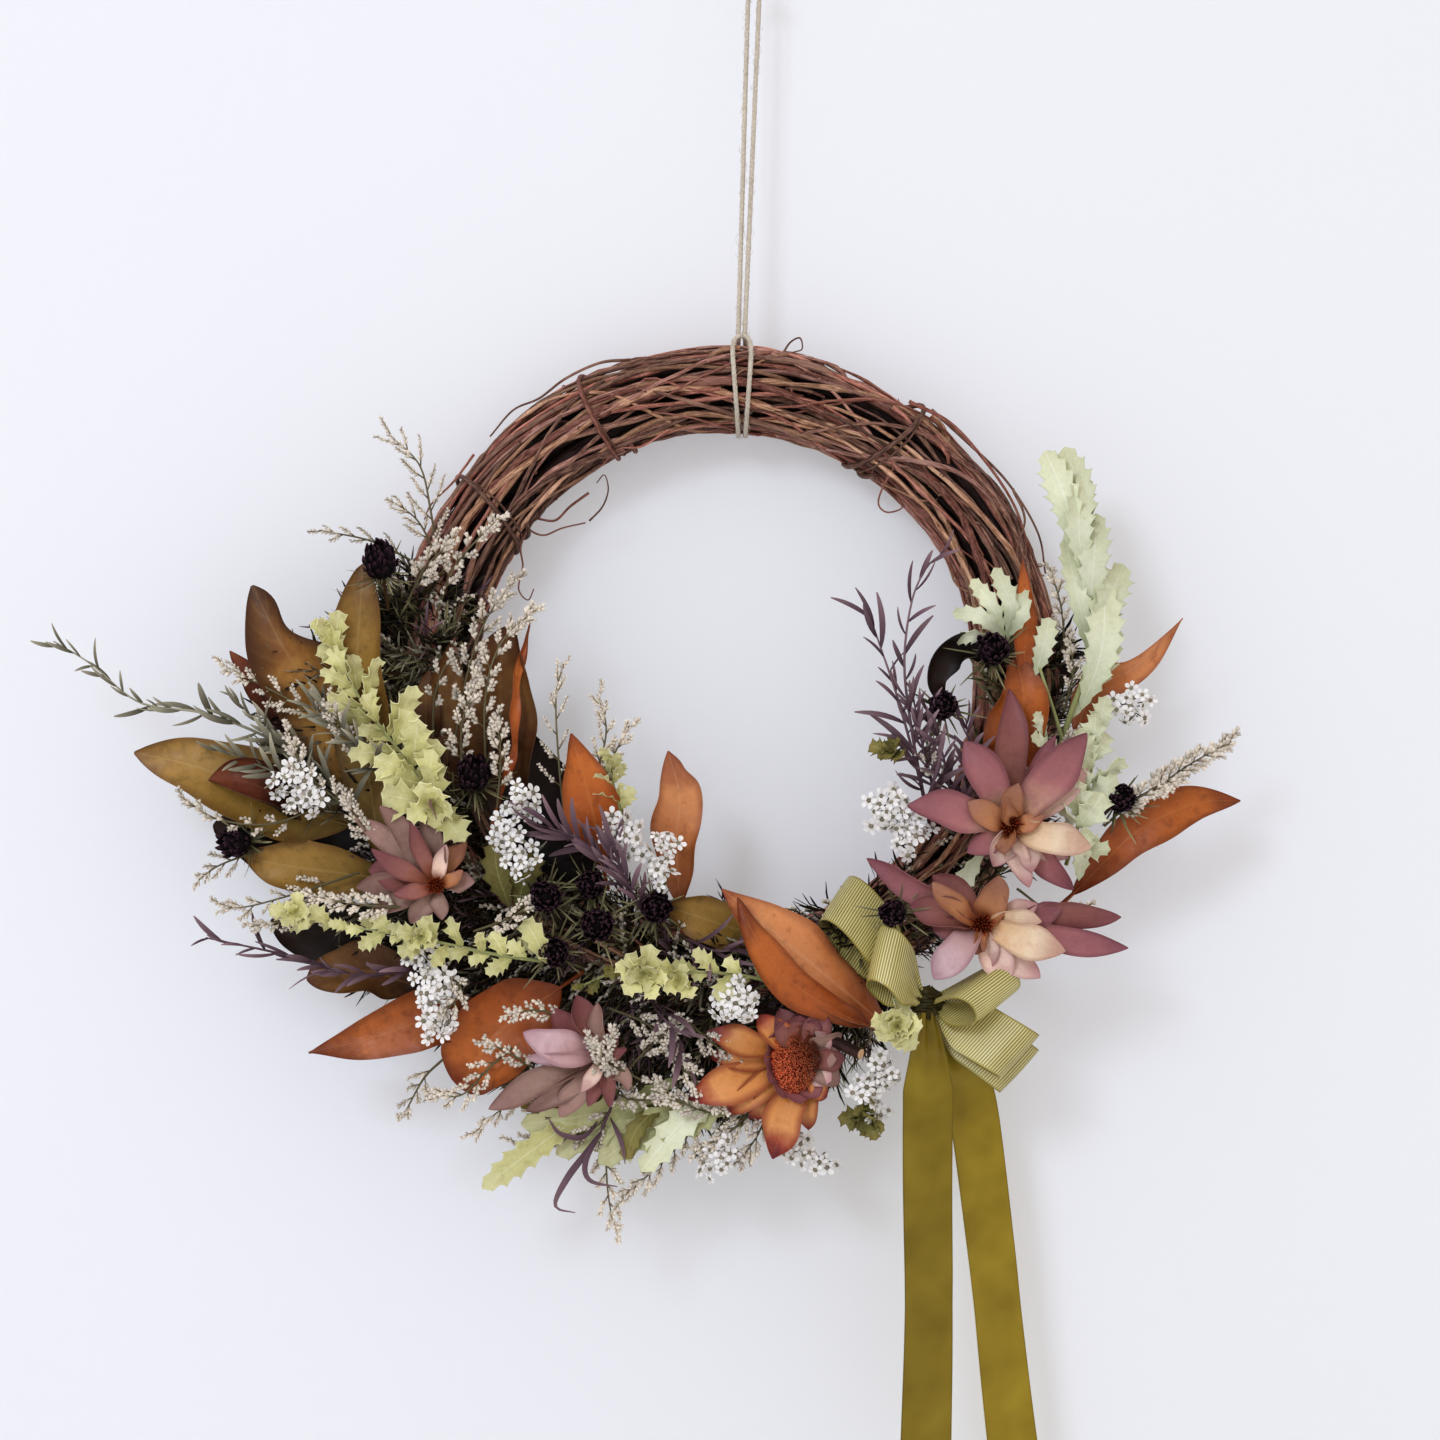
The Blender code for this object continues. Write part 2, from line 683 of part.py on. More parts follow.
def add_stalk(piece, top):
    """Joins a tapered stalk to a piece, from inside it down to the ring."""
    head, foot = on_wreath(*top), on_wreath(*ring_anchor(*top[:2]))
    axis = (foot - head).normalized()
    side = axis.cross(Vector((0, 0, 1))).normalized()
    up = side.cross(axis)
    shape = bmesh.new()
    rings = []
    for centre, radius in ((head, STALK_HEAD_RADIUS), (foot, STALK_FOOT_RADIUS)):
        ring = []
        for s in range(STALK_SIDES):
            turn = 2 * pi * s / STALK_SIDES
            ring.append(shape.verts.new(centre + (side * cos(turn) + up * sin(turn)) * radius * MM))
        rings.append(ring)
    bridge_rings(shape, rings)
    shape.faces.new(rings[0])
    shape.faces.new(rings[1])
    stalk = mesh_object(f"{piece.name}_stalk", shape, STALK)
    stalk.hide_render = True
    stalk.display_type = "WIRE"
    join = piece.modifiers.new("stalk", "BOOLEAN")
    join.operation = "UNION"
    join.object = stalk


WHITE = ((0.80, 0.77, 0.74), 0.8)
SEED = ((0.030, 0.018, 0.022), 0.7)

# name, centre, width, height, depth, look
CLUSTERS = (
    ("white_daisies_left", (-222, -55, 55), 33, 32, 17, WHITE),
    ("white_daisies_centre", (-44, -84, 60), 38, 32, 17, WHITE),
    ("white_daisies_right", (84, -70, 56), 26, 32, 16, WHITE),
    ("seed_head_upper_left", (-177, 60, 50), 21, 24, 19, SEED),
    ("seed_heads_centre", (-80, -122, 52), 54, 34, 18, SEED),
)


def cluster(name, centre, width, height, depth, look):
    """A knobbly dome: an icosphere whose alternate points stand proud."""
    shape = bmesh.new()
    bmesh.ops.create_icosphere(shape, subdivisions=2, radius=0.5)
    for number, vertex in enumerate(list(shape.verts)):
        bump = 1.0 if number % 3 else 0.86
        x, y, z = vertex.co * bump
        vertex.co = on_wreath(centre[0] + x * width, centre[1] + z * height, centre[2] - y * depth)
    dome = mesh_object(name, shape, look, smooth=True)
    add_stalk(dome, centre)


def clear_scene():
    for old in list(bpy.data.objects):
        bpy.data.objects.remove(old, do_unlink=True)


def main():
    clear_scene()
    vine_core()
    vine_strands()
    vine_wraps()
    twine_eye()
    twine_knot()
    twine_legs()
    twine_hitch()
    ribbon_bow()
    magnolia_leaves()
    serrated_sprigs()
    narrow_leaf_sprigs()
    for name, base, tip, radius in LIMONIUM_SPRAYS:
        plume(name, base, tip, radius, LIMONIUM)
    for flower in BRACT_FLOWERS:
        bract_flower(*flower)
    for dome in CLUSTERS:
        cluster(*dome)


main()
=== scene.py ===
from math import cos, pi, radians, sin

import bpy
import numpy as np
from mathutils import Matrix, Vector


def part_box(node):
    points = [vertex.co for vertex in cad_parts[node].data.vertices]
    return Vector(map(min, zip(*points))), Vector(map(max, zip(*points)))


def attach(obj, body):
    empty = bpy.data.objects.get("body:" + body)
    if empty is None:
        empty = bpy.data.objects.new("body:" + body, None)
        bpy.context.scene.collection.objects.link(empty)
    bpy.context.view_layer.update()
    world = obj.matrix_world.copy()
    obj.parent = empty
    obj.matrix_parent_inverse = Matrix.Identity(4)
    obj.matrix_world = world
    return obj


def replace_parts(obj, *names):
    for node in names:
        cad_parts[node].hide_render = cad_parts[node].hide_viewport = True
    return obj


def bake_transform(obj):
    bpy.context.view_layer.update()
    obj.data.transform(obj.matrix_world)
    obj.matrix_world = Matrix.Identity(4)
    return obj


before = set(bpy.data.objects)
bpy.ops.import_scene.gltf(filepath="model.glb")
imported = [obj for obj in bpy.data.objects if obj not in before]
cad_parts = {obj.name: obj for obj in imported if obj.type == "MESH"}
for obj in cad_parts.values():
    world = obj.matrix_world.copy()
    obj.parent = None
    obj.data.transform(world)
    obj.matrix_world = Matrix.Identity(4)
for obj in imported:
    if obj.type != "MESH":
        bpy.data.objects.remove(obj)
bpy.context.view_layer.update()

# Looks of the harvest door wreath. X runs right, Z up, and the wreath faces -Y. Places on the wreath are
# (x, z, depth) in millimetres: x and z from the ring's centre, depth from its middle plane to the viewer.

MM = 0.001
FRONT = np.array((0.0, -1.0, 0.0))
low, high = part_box("vine_core")
RING = np.array(((low.x + high.x) / 2, 0.0, (low.z + high.z) / 2))
RING_RADIUS = 153.5
BUNDLE_RADIUS = 22.6
WALL_Y = 0.0268
SPIRAL = 137.5  # degrees from each leaf or flower of a whorl to the next
ASKEW = (0.31, 0.22, 0.92)  # a direction that no line of the wreath starts in

rng = np.random.default_rng(11)


def at(x, z, depth):
    """World position of a place on the wreath."""
    return RING + np.array((x, -depth, z)) * MM


def places(stops):
    return np.array([at(*stop) for stop in stops])


def unit(v):
    v = np.asarray(v, float)
    return v / np.maximum(np.linalg.norm(v, axis=-1, keepdims=True), 1e-12)


def route(stops, count):
    """Points at equal steps along a smooth curve through the stops."""
    stops = np.asarray(stops, float)
    if len(stops) == 2:
        return stops[0] + (stops[1] - stops[0]) * np.linspace(0, 1, count)[:, None]
    ends = np.vstack((2 * stops[0] - stops[1], stops, 2 * stops[-1] - stops[-2]))
    t = np.linspace(0, 1, 20, endpoint=False)[:, None]
    fine = []
    for a, b, c, d in zip(ends, ends[1:], ends[2:], ends[3:]):
        bend = 2 * a - 5 * b + 4 * c - d
        twist = 3 * b - a - 3 * c + d
        fine.append(0.5 * (2 * b + (c - a) * t + bend * t**2 + twist * t**3))
    fine = np.vstack((*fine, stops[-1:]))
    return resampled(fine, np.linspace(0, 1, count))


def run_along(line):
    """Length from the start of a line to each of its points."""
    return np.concatenate(([0], np.cumsum(np.linalg.norm(np.diff(line, axis=0), axis=1))))


def resampled(line, shares):
    """Points of a line at shares of its length."""
    run = run_along(line)
    return np.stack([np.interp(np.asarray(shares) * run[-1], run, line[:, k]) for k in range(3)], axis=1)


def length_of(line):
    return float(np.linalg.norm(np.diff(line, axis=0), axis=1).sum())


def step_at(line, share):
    """The row of a line at a share of its length, and the direction in which the line leaves it."""
    row = min(int(share * (len(line) - 1)), len(line) - 2)
    return row, unit(line[row + 1] - line[row])


# ---------------------------------------------------------------- meshes


class Shape:
    """Points and faces gathered for one mesh, with the values that its materials read."""

    def __init__(self):
        self.points, self.along, self.across, self.tint = [], [], [], []
        self.quads, self.quad_looks, self.tris, self.tri_looks = [], [], [], []
        self.count = 0

    def add(self, patch, tint=0.5, look=0):
        points = patch["points"]
        size = len(points)
        self.points.append(points)
        self.along.append(np.broadcast_to(patch["along"], size))
        self.across.append(np.broadcast_to(patch["across"], size))
        self.tint.append(np.broadcast_to(tint, size))
        self.quads.append(patch["quads"] + self.count)
        self.quad_looks.append(patch["quad_looks"] + look)
        self.tris.append(patch["tris"] + self.count)
        self.tri_looks.append(patch["tri_looks"] + look)
        self.count += size

    def object(self, name, looks, body="wreath"):
        quads = np.concatenate(self.quads).reshape(-1, 4)
        tris = np.concatenate(self.tris).reshape(-1, 3)
        mesh = bpy.data.meshes.new(name)
        points = np.concatenate(self.points)
        mesh.vertices.add(len(points))
        mesh.vertices.foreach_set("co", points.ravel())
        mesh.loops.add(quads.size + tris.size)
        mesh.loops.foreach_set("vertex_index", np.concatenate((quads.ravel(), tris.ravel())))
        mesh.polygons.add(len(quads) + len(tris))
        starts = np.concatenate((np.arange(len(quads)) * 4, quads.size + np.arange(len(tris)) * 3))
        mesh.polygons.foreach_set("loop_start", starts)
        chosen = np.concatenate((*self.quad_looks, *self.tri_looks))
        mesh.polygons.foreach_set("material_index", chosen.astype(np.int32))
        for key in ("along", "across", "tint"):
            layer = mesh.attributes.new(key, "FLOAT", "POINT")
            layer.data.foreach_set("value", np.concatenate(getattr(self, key)).astype(np.float32))
        for look in looks:
            mesh.materials.append(look)
        mesh.update(calc_edges=True)
        mesh.shade_smooth()
        mesh.set_sharp_from_angle(angle=radians(75))
        made = bpy.data.objects.new(name, mesh)
        bpy.context.scene.collection.objects.link(made)
        if body:
            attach(made, body)
        return made


def patch_of(points, quads, along=0.0, across=0.0, tris=None, quad_looks=None):
    """A piece of surface, with its place along and across for the materials to read."""
    quads = np.asarray(quads, int).reshape(-1, 4)
    tris = np.zeros((0, 3), int) if tris is None else np.asarray(tris, int).reshape(-1, 3)
    return {
        "points": points,
        "quads": quads,
        "quad_looks": np.zeros(len(quads), int) if quad_looks is None else quad_looks,
        "tris": tris,
        "tri_looks": np.zeros(len(tris), int),
        "along": np.array(np.broadcast_to(along, len(points))),
        "across": np.array(np.broadcast_to(across, len(points))),
    }


def joined(patches, looks):
    """Several patches as one; looks gives each one's material."""
    starts = np.cumsum([0] + [len(p["points"]) for p in patches])
    made = {key: np.concatenate([p[key] for p in patches]) for key in ("points", "along", "across")}
    for key in ("quads", "tris"):
        made[key] = np.concatenate([p[key] + start for p, start in zip(patches, starts)])
    for key in ("quad_looks", "tri_looks"):
        made[key] = np.concatenate([p[key] + look for p, look in zip(patches, looks)])
    return made


def grid_quads(rows, cols, wrap=False):
    """Quads of a grid of points, row by row; wrap joins the last column to the first."""
    i = np.arange(rows - 1)[:, None] * cols
    j = np.arange(cols if wrap else cols - 1)[None, :]
    after = (j + 1) % cols
    return np.stack((i + j, i + after, i + cols + after, i + cols + j), axis=-1).reshape(-1, 4)


def carried(line):
    """Tangents of a line, and two directions across it that are carried along without twist."""
    along = unit(np.gradient(line, axis=0))
    side = np.empty_like(line)
    now = unit(np.cross(along[0], ASKEW))
    for k, t in enumerate(along):
        now = now - t * (now @ t)
        now = now / np.linalg.norm(now)
        side[k] = now
    return along, side, np.cross(along, side)


def tube(line, radius, sides=6, grooves=None, flat=1.0):
    """A closed tube along a line; grooves scales the radius at each point, and flat squashes it one way."""
    line = np.asarray(line, float)
    rows = len(line)
    _, side, up = carried(line)
    turn = np.linspace(0, 2 * pi, sides, endpoint=False)
    radius = np.broadcast_to(radius, rows)[:, None] * (1.0 if grooves is None else grooves)
    reach = np.broadcast_to(radius, (rows, sides))[..., None]
    ring = np.cos(turn)[None, :, None] * side[:, None] + flat * np.sin(turn)[None, :, None] * up[:, None]
    points = (line[:, None] + ring * reach).reshape(-1, 3)
    points = np.vstack((points, line[:1], line[-1:]))
    run = run_along(line)
    along = np.concatenate((np.repeat(run * 10, sides), (0, run[-1] * 10)))
    across = np.concatenate((np.tile(turn / pi - 1, rows), (0, 0)))
    k = np.arange(sides)
    after = (k + 1) % sides
    start, end = rows * sides, rows * sides + 1
    last = (rows - 1) * sides
    tris = np.vstack((
        np.stack((np.full(sides, start), after, k), axis=1),
        np.stack((np.full(sides, end), last + k, last + after), axis=1),
    ))
    return patch_of(points, grid_quads(rows, sides, wrap=True), along, across, tris)


def oval(t, belly=0.45, round_base=0.8, round_tip=0.8):
    """Width of a leaf along its length, from 0 to 1: widest at belly."""
    t = np.asarray(t, float)
    below = np.sin(0.5 * pi * np.clip(t / belly, 0, 1)) ** round_base
    above = np.cos(0.5 * pi * np.clip((t - belly) / (1 - belly), 0, 1)) ** round_tip
    return np.maximum(np.where(t < belly, below, above), 0.03)


def thin_sheet(middle, normal, thick, along, across):
    """A closed sheet of even thickness round a grid of points; its front has look 0 and its back look 1."""
    rows, wide = middle.shape[:2]
    total = rows * wide
    top = (middle + normal * thick / 2).reshape(-1, 3)
    bottom = (middle - normal * thick / 2).reshape(-1, 3)
    faces = grid_quads(rows, wide)
    rim = np.concatenate((
        np.arange(wide - 1),
        np.arange(rows - 1) * wide + wide - 1,
        total - 1 - np.arange(wide - 1),
        np.arange(rows - 1, 0, -1) * wide,
    ))
    after = np.roll(rim, -1)
    skirt = np.stack((rim, rim + total, after + total, after), axis=1)
    quads = np.concatenate((faces, faces[:, ::-1] + total, skirt))
    looks = np.repeat((0, 1, 0), (len(faces), len(faces), len(skirt)))
    along, across = np.tile(np.repeat(along, wide), 2), np.tile(np.tile(across, rows), 2)
    return patch_of(np.vstack((top, bottom)), quads, along, across, quad_looks=looks)


def blade(
    line,
    half,
    facing=FRONT,
    shares=None,
    cols=8,
    cup=(0.0, 0.0),
    fold=0.0,
    wave=(0.0, 0.0, 0.0),
    twist=(0.0, 0.0),
    teeth=None,
    thick=0.45 * MM,
):
    """A thin closed leaf along a line. half is its half-width at each row, or one for each side. cup bends
    the left and right halves towards the facing side, in radians at the edge, and fold lifts both. wave is
    (height, count, phase) of the edge's ripple, and teeth (count, depth, lean)."""
    line = np.asarray(line, float)
    rows = len(line)
    shares = np.linspace(0, 1, rows) if shares is None else np.asarray(shares)
    u = np.linspace(-1, 1, cols + 1)[None, :]
    along = unit(np.gradient(line, axis=0))
    facing = np.broadcast_to(np.asarray(facing, float), (rows, 3))
    face = unit(facing - along * np.sum(facing * along, axis=1, keepdims=True))
    side = np.cross(along, face)
    turn = np.interp(shares, (0, 1), np.radians(twist))[:, None]
    face, side = face * np.cos(turn) + side * np.sin(turn), side * np.cos(turn) - face * np.sin(turn)
    left = np.broadcast_to(np.asarray(cup[0], float), rows)[:, None]
    right = np.broadcast_to(np.asarray(cup[1], float), rows)[:, None]
    bend = np.where(u < 0, left, right)
    bend = np.where(np.abs(bend) < 1e-3, 1e-3, bend)
    reach = np.sin(bend * np.abs(u)) / bend
    lift = (1 - np.cos(bend * np.abs(u))) / bend
    fold = np.broadcast_to(np.asarray(fold, float), rows)[:, None]
    reach, lift = reach * np.cos(fold) - lift * np.sin(fold), reach * np.sin(fold) + lift * np.cos(fold)
    half = np.array(half, float)
    half = half.reshape(rows, 1) if half.ndim == 1 else np.where(u < 0, half[:, :1], half[:, 1:])
    forward = np.zeros((rows, cols + 1))
    if teeth:
        count, depth, lean = teeth
        cusp = 1 - np.abs(2 * ((shares * count) % 1.0) - 1)
        cusp = ((1 - (1 - cusp) ** 0.6) * np.clip(12 * (1 - shares), 0, 1))[:, None]
        half = half * (1 - depth * (1 - cusp))
        forward = lean * cusp * np.abs(u) ** 3 * half
    height, waves, phase = wave
    ripple = height * np.abs(u) ** 1.6 * np.sin(2 * pi * (waves * shares[:, None] + phase) + (u > 0) * 1.9)
    middle = (
        line[:, None]
        + side[:, None] * (np.sign(u) * reach * half)[..., None]
        + face[:, None] * (lift * half + ripple * half / max(half.max(), 1e-9))[..., None]
        + along[:, None] * forward[..., None]
    )
    du = np.gradient(middle, axis=1)
    dt = np.gradient(middle, axis=0)
    normal = np.cross(du, dt)
    size = np.linalg.norm(normal, axis=2, keepdims=True)
    normal = np.where(size > 1e-14, normal / np.maximum(size, 1e-14), face[:, None])
    return thin_sheet(middle, normal, thick, shares, u[0])


def basis(forward, facing, roll=0.0):
    """Columns that take a template's X, Y, Z to its side, forward and facing directions."""
    y = unit(forward)
    z = unit(np.asarray(facing, float) - y * np.dot(facing, y))
    x = np.cross(y, z)
    if roll:
        x, z = x * cos(roll) + z * sin(roll), z * cos(roll) - x * sin(roll)
    return np.stack((x, y, z), axis=1)


def stamp(shape, template, origin, axes, scale=1.0, tint=0.5, look=0):
    """A copy of a template, whose points are in millimetres, put at a world position."""
    moved = dict(template)
    moved["points"] = origin + (template["points"] * np.asarray(scale) * MM) @ axes.T
    shape.add(moved, tint, look)


def any_way():
    return unit(rng.normal(size=3))


# ---------------------------------------------------------------- materials


def linear(text):
    """Linear colour of a hex code."""
    values = [int(text[k : k + 2], 16) / 255 for k in (1, 3, 5)]
    return tuple(v / 12.92 if v <= 0.04045 else ((v + 0.055) / 1.055) ** 2.4 for v in values) + (1.0,)


class Nodes:
    """A short way to wire a material's nodes."""

    def __init__(self, name):
        self.material = bpy.data.materials.new(name)
        self.material.use_nodes = True
        self.tree = self.material.node_tree
        self.shader = self.tree.nodes["Principled BSDF"]

    def node(self, kind, inputs=None, **settings):
        made = self.tree.nodes.new("ShaderNode" + kind)
        for key, value in settings.items():
            setattr(made, key, value)
        for key, value in (inputs or {}).items():
            self.feed(made.inputs[key], value)
        return made

    def feed(self, socket, value):
        if isinstance(value, bpy.types.NodeSocket):
            self.tree.links.new(value, socket)
        elif value is not None:
            socket.default_value = value

    def value(self, key):
        return self.node("Attribute", attribute_name=key).outputs["Fac"]

    def math(self, operation, a, b=0.0, c=0.0, clamp=False):
        made = self.node("Math", {0: a, 1: b, 2: c}, operation=operation, use_clamp=clamp)
        return made.outputs[0]

    def between(self, value, low_in, high_in, low_out=0.0, high_out=1.0, smooth=False):
        kind = "SMOOTHSTEP" if smooth else "LINEAR"
        made = self.node("MapRange", {0: value, 1: low_in, 2: high_in, 3: low_out, 4: high_out},
            interpolation_type=kind)
        return made.outputs[0]

    def ramp(self, value, stops):
        made = self.node("ValToRGB", {0: value})
        band = made.color_ramp
        while len(band.elements) < len(stops):
            band.elements.new(0.5)
        for element, (position, color) in zip(band.elements, stops):
            element.position = position
            element.color = linear(color)
        return made.outputs[0]

    def mix(self, share, a, b):
        made = self.node("Mix", data_type="RGBA")
        for socket, value in ((made.inputs[0], share), (made.inputs[6], a), (made.inputs[7], b)):
            self.feed(socket, linear(value) if isinstance(value, str) else value)
        return made.outputs[2]

    def noise(self, vector, scale, detail=3.0, rough=0.55, distortion=0.0):
        inputs = {"Vector": vector, "Scale": scale, "Detail": detail, "Roughness": rough,
            "Distortion": distortion}
        return self.node("TexNoise", inputs).outputs["Fac"]

    def place(self):
        return self.node("TexCoord").outputs["Object"]

    def combine(self, x, y, z):
        return self.node("CombineXYZ", {0: x, 1: y, 2: z}).outputs[0]

    def stretched(self, along, long, across, wide, seed):
        """A place for noise that runs at its own pitch along and across."""
        return self.combine(self.math("MULTIPLY", along, long), self.math("MULTIPLY", across, wide), seed)

    def shade(self, color, amount, value):
        """Brightens and darkens a colour as value runs from 0 to 1."""
        factor = self.between(value, 0.0, 1.0, 1.0 - amount, 1.0 + amount)
        made = self.node("HueSaturation",
            {"Hue": 0.5, "Saturation": 1.0, "Value": factor, "Fac": 1.0, "Color": color})
        return made.outputs[0]

    def done(self, color, rough, bump=None, strength=0.3, distance=0.4 * MM, sheen=0.0, shine=0.3):
        self.feed(self.shader.inputs["Base Color"], color)
        self.feed(self.shader.inputs["Roughness"], rough)
        self.shader.inputs["Specular IOR Level"].default_value = shine
        if bump is not None:
            made = self.node("Bump", {"Strength": strength, "Distance": distance, "Height": bump})
            self.tree.links.new(made.outputs[0], self.shader.inputs["Normal"])
        if sheen:
            self.shader.inputs["Sheen Weight"].default_value = sheen
        return self.material


def leaf_look(
    name,
    stops,
    rib="#c8a878",
    rib_width=0.05,
    rib_share=0.6,
    edge="#6a3a20",
    edge_share=0.4,
    edge_from=0.75,
    vary=0.22,
    blotch="#5a3018",
    blotch_share=0.35,
    veins=0.5,
    rough=(0.42, 0.62),
    shine=0.3,
    crinkle=0.0,
):
    """A dried leaf: colours along its length, with its midrib, edge, veins and blotches."""
    n = Nodes(name)
    along, across, tint = n.value("along"), n.value("across"), n.value("tint")
    wide = n.math("ABSOLUTE", across)
    place = n.place()
    cloud = n.noise(place, 38.0, 3.0, 0.6, 0.4)
    shifted = n.math("ADD", along, n.between(cloud, 0.3, 0.7, -0.12, 0.12), clamp=True)
    color = n.ramp(shifted, stops)
    spots = n.noise(place, 150.0, 4.0, 0.65)
    color = n.mix(n.math("MULTIPLY", n.between(spots, 0.5, 0.72, smooth=True), blotch_share), color, blotch)
    color = n.mix(n.math("MULTIPLY", n.between(cloud, 0.55, 0.75, smooth=True), blotch_share * 0.6), color,
        blotch)
    edge_mask = n.math("MULTIPLY", n.between(wide, edge_from, 1.0, smooth=True), edge_share)
    color = n.mix(edge_mask, color, edge)
    slanted = n.math("SUBTRACT", n.math("MULTIPLY", along, 9.0), n.math("MULTIPLY", wide, 1.6))
    vein = n.math("POWER", n.math("ABSOLUTE", n.math("SINE", n.math("MULTIPLY", slanted, pi))), 14.0)
    vein = n.math("MULTIPLY", vein, n.between(wide, 0.98, 0.5))
    color = n.mix(n.math("MULTIPLY", vein, veins * 0.35), color, rib)
    rib_mask = n.between(wide, rib_width * 1.5, rib_width * 0.4, smooth=True)
    color = n.mix(n.math("MULTIPLY", rib_mask, rib_share), color, rib)
    color = n.shade(color, vary, tint)
    fine = n.noise(place, 420.0, 3.0, 0.6)
    color = n.shade(color, 0.12, fine)
    height = n.math("MULTIPLY_ADD", vein, 0.5 * veins, n.math("MULTIPLY_ADD", rib_mask, 0.8, fine))
    if crinkle:
        height = n.math("MULTIPLY_ADD", n.noise(place, 62.0, 2.0, 0.5, 0.6), crinkle, height)
    roughness = n.between(spots, 0.3, 0.7, *rough)
    return n.done(color, roughness, height, 0.35, 0.35 * MM, shine=shine)


def plain_look(name, stops, vary=0.25, scale=300.0, bump=0.3, speck=None, speck_share=0.3):
    """A small dried piece: colours along its length, with fine variation."""
    n = Nodes(name)
    place = n.place()
    fine = n.noise(place, scale, 3.0, 0.6)
    color = n.ramp(n.value("along"), stops)
    if speck:
        color = n.mix(n.math("MULTIPLY", n.between(fine, 0.52, 0.7, smooth=True), speck_share), color, speck)
    color = n.shade(color, vary, n.value("tint"))
    color = n.shade(color, 0.14, n.noise(place, scale * 0.3, 2.0))
    return n.done(color, n.between(fine, 0.3, 0.7, 0.6, 0.85), fine, bump, 0.25 * MM, shine=0.12)


def bark_look(name, dark, middle, light, vary=0.3):
    """Bark of a thin vine: streaks along it, with knots and pale rubbed patches."""
    n = Nodes(name)
    along, across, tint = n.value("along"), n.value("across"), n.value("tint")
    seed = n.math("MULTIPLY", tint, 37.0)
    streaks = n.noise(n.stretched(along, 7.0, across, 3.2, seed), 2.6, 4.0, 0.62)
    rings = n.noise(n.stretched(along, 60.0, across, 0.5, seed), 1.2, 2.0, 0.5)
    patches = n.noise(n.combine(n.math("MULTIPLY", along, 2.2), across, seed), 1.0, 2.0, 0.5)
    color = n.ramp(streaks, ((0.28, dark), (0.46, middle), (0.68, light)))
    color = n.mix(n.math("MULTIPLY", n.between(patches, 0.5, 0.68, smooth=True), 0.55), color, light)
    color = n.mix(n.math("MULTIPLY", n.between(rings, 0.6, 0.75, smooth=True), 0.35), color, dark)
    color = n.shade(color, vary, tint)
    height = n.math("MULTIPLY_ADD", rings, 0.35, streaks)
    return n.done(color, n.between(streaks, 0.3, 0.7, 0.75, 0.42), height, 0.9, 0.8 * MM)


def jute_look():
    n = Nodes("jute")
    along, across, tint = n.value("along"), n.value("across"), n.value("tint")
    place = n.place()
    fibres = n.noise(n.stretched(along, 40.0, across, 5.0, tint), 2.4, 4.0, 0.65)
    color = n.ramp(fibres, ((0.3, "#a89a84"), (0.5, "#d6cbb9"), (0.72, "#f3ebdf")))
    color = n.shade(color, 0.12, n.noise(place, 90.0, 2.0))
    return n.done(color, n.between(fibres, 0.3, 0.7, 0.95, 0.75), fibres, 0.8, 0.5 * MM, sheen=0.2)


RIB_PITCH = 1.45  # millimetres from one rib of the ribbon to the next


def ribbon_look(name, low_color, high_color, ribs, rough):
    """Ribbon. along is in centimetres, so that its ribs keep their pitch, and across is 1 at the selvages."""
    n = Nodes(name)
    along, across = n.value("along"), n.value("across")
    wide = n.math("ABSOLUTE", across)
    soft = n.noise(n.stretched(along, 0.4, across, 0.5, 0.0), 1.0, 2.0, 0.5)
    weave = n.noise(n.stretched(along, 30.0, across, 60.0, 3.0), 1.0, 2.0, 0.6)
    color = n.mix(n.between(soft, 0.3, 0.7), low_color, high_color)
    wave = n.math("SINE", n.math("MULTIPLY", along, 2 * pi * 10 / RIB_PITCH))
    wave = n.math("MULTIPLY", wave, n.between(wide, 0.95, 0.92))
    selvage = n.between(wide, 0.94, 0.97, smooth=True)
    # Painted highlight and shade: the rib crests are painted pale and the troughs dark.
    if ribs:
        color = n.mix(n.between(wave, 0.1, -0.9, 0.0, ribs * 0.6), color, "#5a4f12")
        color = n.mix(n.between(wave, 0.0, 1.0, 0.0, ribs * 0.62), color, "#eee8b8")
    color = n.mix(n.math("MULTIPLY", selvage, 0.4), color, "#5f5214")
    # The tint brightens or darkens the ribbon; on the tails and the tie it carries painted light and shade.
    color = n.shade(color, 0.3, n.value("tint"))
    color = n.shade(color, 0.04, weave)
    height = n.math("MULTIPLY_ADD", wave, 0.5 * ribs, n.math("MULTIPLY", weave, 0.2))
    finish = n.between(weave, 0.3, 0.7, rough, rough + 0.08)
    return n.done(color, finish, height, 0.6 if ribs else 0.06, 0.3 * MM, shine=0.9 if ribs else 0.3)


BARK = [
    bark_look("bark_red", "#1a0b08", "#8c5243", "#d69d8a", 0.5),
    bark_look("bark_brown", "#160c09", "#6a483b", "#b68e7a", 0.5),
    bark_look("bark_tan", "#3c2218", "#a87a5c", "#e4bc9e", 0.35),
    bark_look("bark_pink", "#2c1612", "#9a6a5b", "#dcb2a3", 0.45),
    # Near-black bark for the vines inside the bundle and the cut stem behind the protea: painted shade.
    bark_look("bark_painted_shade", "#0c0504", "#241310", "#4a2c22", 0.4),
    plain_look("cut_wood", ((0.0, "#d8b48c"), (1.0, "#ecd2ac")), 0.2),
]
JUTE = jute_look()
RIBBED = ribbon_look("ribbon_ribbed", "#9c8d3a", "#c0b160", 1.0, 0.28)
SATIN = ribbon_look("ribbon_satin", "#8a7414", "#a28b26", 0.0, 0.34)
